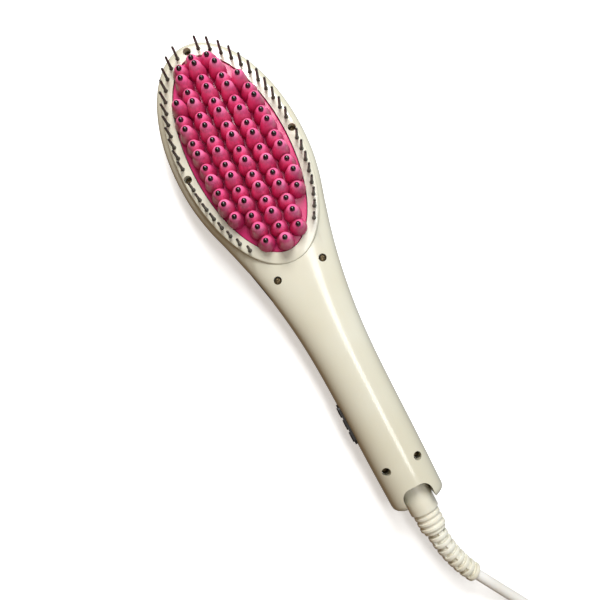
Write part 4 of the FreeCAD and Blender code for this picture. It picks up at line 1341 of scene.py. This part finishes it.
@dataclass
class MainsLead:
    """The lead with its put-away coil, tie and plug.

    The tail's steps run from the coil's end: forwards, outwards and up. The boot's rib is given by steps out
    from its reach and along from its start.
    """

    diameter: float = 5.6
    exit: Triple = (174.504, 7.83, 11.65)
    lead: tuple[Triple, ...] = (
        (188.4, 15.6, 8.9), (202.0, 23.3, 4.7), (214.5, 30.4, 3.7), (225.8, 37.0, 3.7))
    length: float = 1710.0
    round_steps: int = 6
    spline_steps: int = 5
    spline_order: int = 3
    coil_radius: float = 43.5
    coil_step: float = 3.15
    coil_low: float = 3.7
    coil_high: float = 10.0
    coil_halves: int = 8
    climb_inset: float = 1.5
    exit_angle: float = 16.0
    points_per_half: int = 12
    tail_steps: tuple[Triple, ...] = (
        (0.0, 0.0, 0.0), (6.0, 0.0, 0.0), (12.0, 0.2, -1.2), (19.0, 0.5, -2.85), (25.0, 0.6, -2.85))
    tie_angle: float = 20.0
    tie_width: float = 6.0
    tie_thickness: float = 0.5
    tie_gap: float = 0.6
    tie_segments: int = 6
    lip_size: Triple = (7.0, 5.4, 0.4)
    lip_inset: Pair = (9.0, 0.3)
    lip_round: float = 0.12
    lip_segments: int = 2
    boot_length: float = 9.0
    boot_radius: float = 4.2
    boot_start: float = 0.4
    boot_grow: float = 0.2
    boot_ribs: int = 4
    boot_rib: Profile = ((0.0, 0.0), (0.0, 1.5), (-0.7, 1.6), (-0.7, 2.1))
    boot_end: Pair = (0.4, 1.0)
    boot_round: float = 0.2
    boot_segments: int = 2
    boot_steps: int = 32
    plug_length: float = 36.0
    plug_size: Pair = (26.0, 13.7)
    neck_size: Pair = (13.0, 10.6)
    shoulder_share: float = 0.62
    plug_corner: float = 2.4
    plug_segments: int = 5
    rim_angle: float = 1.2
    rim_round: float = 0.7
    rim_segments: int = 3
    pin_radius: float = 2.0
    sleeve_radius: float = 1.97
    sleeve_length: float = 10.0
    sleeve_round: float = 0.2
    sleeve_overlap: float = 0.05
    stub_radius: float = 1.2
    stub_length: float = 0.5
    pin_length: float = 19.0
    pin_spacing: float = 18.6
    pin_sink: float = 4.0
    pin_steps: int = 28
    dome_rows: int = 6
    with_cord: list[bpy.types.Object] = field(default_factory=list)

    def coil_place(self) -> tuple[Vector, float]:
        """Find where the coil lies, from one diameter past the lead's last point on.

        Returns:
            The coil's middle, and the angle at which it starts.
        """
        before, last = (Vector(point[:2]) for point in self.lead[-2:])
        way = (last - before).normalized()
        middle = last + way * self.diameter + Vector((way.y, -way.x)) * self.coil_radius
        return middle, math.atan2(way.x, -way.y)

    def coil_point(self, radius: float, turn: float, height: float) -> Triple:
        """Find a point of the coil.

        Args:
            radius: Its distance from the coil's middle.
            turn: Half turns from the coil's start.
            height: Its height.

        Returns:
            The point.
        """
        middle, start = self.coil_place()
        angle = start - math.pi * turn
        return middle.x + radius * math.cos(angle), middle.y + radius * math.sin(angle), height

    def coil_rows(self) -> list[Pair]:
        """List the coil's half turns.

        Returns:
            Radius and height at each of them, in on the low layer and out on the high one.
        """
        radii = [self.coil_radius - self.coil_step * turn for turn in range(self.coil_halves + 1)]
        radii[-1] -= self.climb_inset
        low = [(radius, self.coil_low) for radius in radii]
        return low + [(radius, self.coil_high) for radius in reversed(radii)]

    def coil_points(self) -> list[Triple]:
        """Lay the coil's turns.

        Returns:
            Control points of the coil.
        """
        rows = self.coil_rows()
        points = []
        for turn, ((radius, height), (next_radius, next_height)) in enumerate(zip(rows, rows[1:])):
            for step in range(self.points_per_half):
                share = step / self.points_per_half
                reach = radius + share * (next_radius - radius)
                rise = height + (3 - 2 * share) * share ** 2 * (next_height - height)
                points.append(self.coil_point(reach, turn + share, rise))
        for past in (0.0, self.exit_angle / 2, self.exit_angle):
            points.append(self.coil_point(rows[-1][0], len(rows) - 1 + past / 180, rows[-1][1]))
        return points

    def tail_points(self) -> list[Triple]:
        """Lay the lead from one diameter past the coil's end to the plug.

        Returns:
            Control points of the tail.
        """
        x, y, height = self.coil_points()[-1]
        middle, _ = self.coil_place()
        out = (Vector((x, y)) - middle).normalized()
        way = Vector((out.y, -out.x))
        points = []
        for forwards, outwards, up in self.tail_steps:
            spot = Vector((x, y)) + way * (self.diameter + forwards) + out * outwards
            points.append((spot.x, spot.y, height + up))
        return points

    def build_cord(self) -> None:
        """Build the lead as one smooth spline from the strain relief to the plug."""
        route = [self.exit, *self.lead, *self.coil_points(), *self.tail_points()]
        curve = bpy.data.curves.new("mains_lead", "CURVE")
        curve.dimensions = "3D"
        curve.bevel_depth = self.diameter / 2 * MM
        curve.bevel_resolution = self.round_steps
        curve.resolution_u = self.spline_steps
        curve.use_fill_caps = True
        spline = curve.splines.new("NURBS")
        spline.points.add(len(route) - 1)
        for point, place in zip(spline.points, route):
            point.co = (place[0] * MM, place[1] * MM, place[2] * MM, 1.0)
        spline.order_u = self.spline_order
        spline.use_endpoint_u = True
        spline.use_smooth = True
        curve.materials.append(WHITE_PVC.material())
        lead = linked("mains_lead", curve)
        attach(lead, "brush")
        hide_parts("cord_lead", "cord_coil", "cord_tail")
        tuple(value * MM for value in self.exit)
        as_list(self.with_cord)
        LOG.info("mains_lead with %d points", len(route))

    def build_tie(self) -> None:
        """Build the strap round the coil's turns."""
        room = self.diameter / 2 + self.tie_gap
        inner = self.coil_radius - self.coil_step * (self.coil_halves + 1) - room
        outer = self.coil_radius + self.coil_step + room
        low = self.coil_low - (self.diameter + self.tie_gap) / 2
        high = self.coil_high + (self.diameter + self.tie_gap) / 2
        shape = bmesh.new()
        ring = ((inner, low), (outer, low), (outer, high), (inner, high))
        loop = [shape.verts.new((x, -self.tie_width / 2, z)) for x, z in ring]
        for pair in zip(loop, loop[1:] + loop[:1]):
            shape.edges.new(pair)
        round_off(shape, loop, self.diameter / 2, self.tie_segments, Rounded.CORNERS)
        grown = bmesh.ops.extrude_edge_only(shape, edges=shape.edges[:])
        bmesh.ops.translate(shape, vec=(0, self.tie_width, 0), verts=new_verts(grown))
        bmesh.ops.recalc_face_normals(shape, faces=shape.faces[:])
        bmesh.ops.solidify(shape, geom=shape.faces[:], thickness=-self.tie_thickness)
        lip = box(self.lip_size, (outer - self.lip_inset[0], 0, high - self.lip_inset[1]))
        round_off(lip, lip.edges[:], self.lip_round, self.lip_segments)
        add_shape(shape, lip)
        middle, _ = self.coil_place()
        moved(shape, upright(*middle, 0) @ Matrix.Rotation(math.radians(self.tie_angle), 4, "Z"))
        self.with_cord.append(
            place_piece("cord_strap", shape, "brush", PLUG_PVC, ["cord_tie"], smooth=40.0))

    def plug_place(self) -> Matrix:
        """Find the plug.

        Returns:
            The place of a form that is drawn along X from the boot's rear end.
        """
        before, last = (Vector(point) for point in self.tail_points()[-2:])
        way = last - before
        return Matrix.Translation(last) @ Matrix.Rotation(math.atan2(way.y, way.x), 4, "Z")

    def boot(self) -> Form:
        """Make the plug's ribbed boot.

        Returns:
            The boot, standing on the origin.
        """
        least = self.diameter / 2 + self.boot_grow
        profile = [(self.diameter / 2, 0.0)]
        for rib in range(self.boot_ribs):
            start = self.boot_start + rib * (self.boot_length - self.boot_start) / self.boot_ribs
            reach = least + (self.boot_radius - least) * (rib + 1) / self.boot_ribs
            profile += [(reach + out, start + along) for out, along in self.boot_rib]
        drawn, sunk = self.boot_end
        end = self.boot_length + sunk
        profile += [(self.boot_radius - drawn, end), (0, end)]
        return turned(profile, self.boot_steps, self.boot_round, self.boot_segments)

    def build_plug(self) -> None:
        """Build the plug's body with its boot."""
        rear = self.boot_length
        shoulder = rear + self.plug_length * self.shoulder_share
        front = rear + self.plug_length
        shape = box((shoulder - rear, *self.neck_size), ((rear + shoulder) / 2, 0, 0))
        face = max(shape.faces, key=lambda side: side.normal.x)
        wide, tall = (plug / neck for plug, neck in zip(self.plug_size, self.neck_size))
        bmesh.ops.scale(shape, vec=(1, wide, tall), verts=face.verts[:])
        raised = bmesh.ops.extrude_face_region(shape, geom=[face])
        bmesh.ops.translate(shape, vec=(front - shoulder, 0, 0), verts=new_verts(raised))
        tidy(shape)
        round_off(shape, running(shape, 0), self.plug_corner, self.plug_segments)
        rims = [
            edge for edge in shape.edges
            if len(edge.link_faces) == 2 and edge.calc_face_angle() > self.rim_angle]
        round_off(shape, rims, self.rim_round, self.rim_segments)
        add_shape(shape, self.boot(), lengthwise(0, 0, 0))
        moved(shape, self.plug_place())
        self.with_cord.append(
            place_piece("moulded_plug", shape, "brush", PLUG_PVC, ["plug_body"]))

    def build_pins(self) -> None:
        """Build the plug's sleeved pins."""
        front = self.boot_length + self.plug_length
        radius, root = self.pin_radius, self.sleeve_length
        straight = self.pin_length - radius
        turns = [math.pi / 2 * row / self.dome_rows for row in range(self.dome_rows)]
        dome = [(radius * math.cos(turn), straight + radius * math.sin(turn)) for turn in turns]
        bare = turned([(0, root), (radius, root), *dome, (0, self.pin_length)], self.pin_steps)
        end = root + self.sleeve_overlap
        sleeve = turned([
            (0, -self.pin_sink), (self.stub_radius, -self.pin_sink), (self.stub_radius, self.stub_length),
            (self.sleeve_radius, self.stub_length), (self.sleeve_radius, root - self.sleeve_round),
            (self.sleeve_radius - self.sleeve_round, end), (0, end),
        ], self.pin_steps)
        pins = bmesh.new()
        sleeves = bmesh.new()
        for side in Side:
            place = self.plug_place() @ lengthwise(front, side.value * self.pin_spacing / 2, 0)
            add_shape(pins, bare, place)
            add_shape(sleeves, sleeve, place)
        self.with_cord += [
            place_piece("contact_pins", pins, "brush", NICKEL, ["plug_pins"], smooth=40.0),
            place_piece("pin_sleeves", sleeves, "brush", PIN_SLEEVE),
        ]

    def build(self) -> None:
        """Build the lead and all that is on it."""
        self.build_tie()
        self.build_plug()
        self.build_pins()
        self.build_cord()


@dataclass
class Inside:
    """The pieces that the closed casing hides, which keep their solids."""

    finishes: dict[str, Finish] = field(default_factory=lambda: {
        "plate_gasket": SILICONE, "heating_element": SHEET_ALUMINIUM, "heater_insulator": MICA,
        "heater_retainer": SHEET_ALUMINIUM, "retainer_screws": BLACK_STEEL, "thermal_fuse": NICKEL,
        "temperature_sensor": EPOXY, "heater_leads": WIRE_SHEATH, "supply_leads": WIRE_SHEATH,
        "control_board": LAMINATE, "tact_switches": EPOXY, "board_components": EPOXY, "display_module": EPOXY,
        "contact_block": EPOXY, "contact_blades": BRASS,
    })

    def build(self) -> None:
        """Dress each hidden node."""
        for node, finish in self.finishes.items():
            dress_node(node, finish)


@dataclass(frozen=True)
class SoftBox:
    """A soft box, with its place, aim and size in metres and its power in watts."""

    name: str
    place: Triple
    aim: Triple
    size: Pair
    power: float
    colour: str = "FFFFFF"
    mirrored: bool = True

    def hang(self) -> None:
        """Hang the soft box, which glossy pieces mirror or not."""
        lamp = bpy.data.lights.new(self.name, "AREA")
        lamp.shape = "RECTANGLE"
        lamp.size, lamp.size_y = self.size
        lamp.energy = self.power
        lamp.color = linear(self.colour)[:3]
        holder = linked(self.name, lamp)
        holder.location = self.place
        holder.rotation_euler = (Vector(self.aim) - Vector(self.place)).to_track_quat("-Z", "Y").to_euler()
        holder.visible_glossy = self.mirrored


@dataclass
class Studio:
    """The floor, the lights and the camera at the photograph's angle."""

    camera_place: Triple = (34.67, -14.67, 330.0)
    focal: float = 595.0
    picture: float = 600.0
    sensor: float = 36.0
    clip_start: float = 10.0
    right: Triple = (0.4602, 0.8879, 0.0)
    down: Triple = (0.8879, -0.4602, 0.0)
    vanish: Triple = (10.0, 50.0, 595.0)
    floor_size: float = 4000.0
    floor_drop: float = 0.1
    sky_strength: float = 0.3
    sky_tone: str = "FFFFFF"
    wall_tone: str = "9A6A16"
    wall_span: Pair = (-0.7, 0.1)
    lights: tuple[SoftBox, ...] = (
        SoftBox("key", (-0.58, 0.27, 0.74), (0.0, 0.0, 0.02), (0.4, 0.4), 9.6),
        SoftBox("strip", (0.06, 0.2, 0.75), (0.06, 0.0, 0.02), (0.5, 0.14), 1.6),
        SoftBox("fill", (0.0, -0.6, 0.4), (0.0, 0.0, 0.02), (0.6, 0.4), 0.34, "FFD49A", False),
    )

    def build_floor(self) -> None:
        """Lay the pale floor, which throws no light back."""
        shape = bmesh.new()
        bmesh.ops.create_grid(shape, x_segments=1, y_segments=1, size=self.floor_size / 2 * MM)
        bmesh.ops.translate(shape, vec=(0, 0, -self.floor_drop * MM), verts=shape.verts[:])
        floor = linked("floor", mesh_of("floor", shape))
        floor.data.materials.append(PAPER.material())
        floor.visible_diffuse = False
        floor.visible_glossy = False
        floor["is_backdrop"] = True

    def build_sky(self) -> None:
        """Set the sky, with a warm dim wall on the side of the keys that tints the shaded flank brown."""
        world = bpy.data.worlds.new("studio")
        world.use_nodes = True
        tree = world.node_tree
        sky = tree.nodes["Background"]
        sky.inputs["Strength"].default_value = self.sky_strength
        way = add_node(tree, "ShaderNodeTexCoord").outputs["Generated"]
        share = add_node(tree, "ShaderNodeMapRange", inputs={
            "Value": coordinate(tree, way, "Y"), "From Min": self.wall_span[0], "From Max": self.wall_span[1],
        })
        room = blend(tree, share.outputs["Result"], linear(self.wall_tone), linear(self.sky_tone))
        tree.links.new(room, sky.inputs["Color"])
        bpy.context.scene.world = world

    def build_camera(self) -> None:
        """Set the camera where the photograph was taken from."""
        tilt = Vector((0, 0, 1)).rotation_difference(Vector(self.vanish).normalized()).to_matrix()
        level = Matrix((self.right, self.down, (0, 0, -1)))
        axes = tilt @ level
        lens = bpy.data.cameras.new("camera")
        lens.sensor_width = self.sensor
        lens.lens = self.focal / self.picture * self.sensor
        lens.clip_start = self.clip_start * MM
        camera = linked("camera", lens)
        turn = Matrix((axes[0], -axes[1], -axes[2])).transposed().to_4x4()
        camera.matrix_world = Matrix.Translation(Vector(self.camera_place) * MM) @ turn
        bpy.context.scene.camera = camera

    def build(self) -> None:
        """Build the studio."""
        self.build_floor()
        self.build_sky()
        for light in self.lights:
            light.hang()
        self.build_camera()
        bpy.context.scene.view_settings.view_transform = "Standard"


def corners(box_corners: Iterable[Iterable[float]]) -> list[list[float]]:
    """Write a box as plain lists."""
    return [[float(value) for value in corner] for corner in box_corners]


def main() -> None:
    """Build the studio and each sub-assembly, then measure the two boxes."""
    logging.basicConfig(level=logging.INFO, format="%(message)s")
    solid_box = corners(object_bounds())
    Studio().build()
    MainsLead().build()
    face = HeatedFace()
    face.build()
    Casing(face).build()
    Controls().build()
    CordOutlet().build()
    Inside().build()
    {"cad": solid_box, "visual": corners(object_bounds())}


if __name__ == "__main__":
    main()
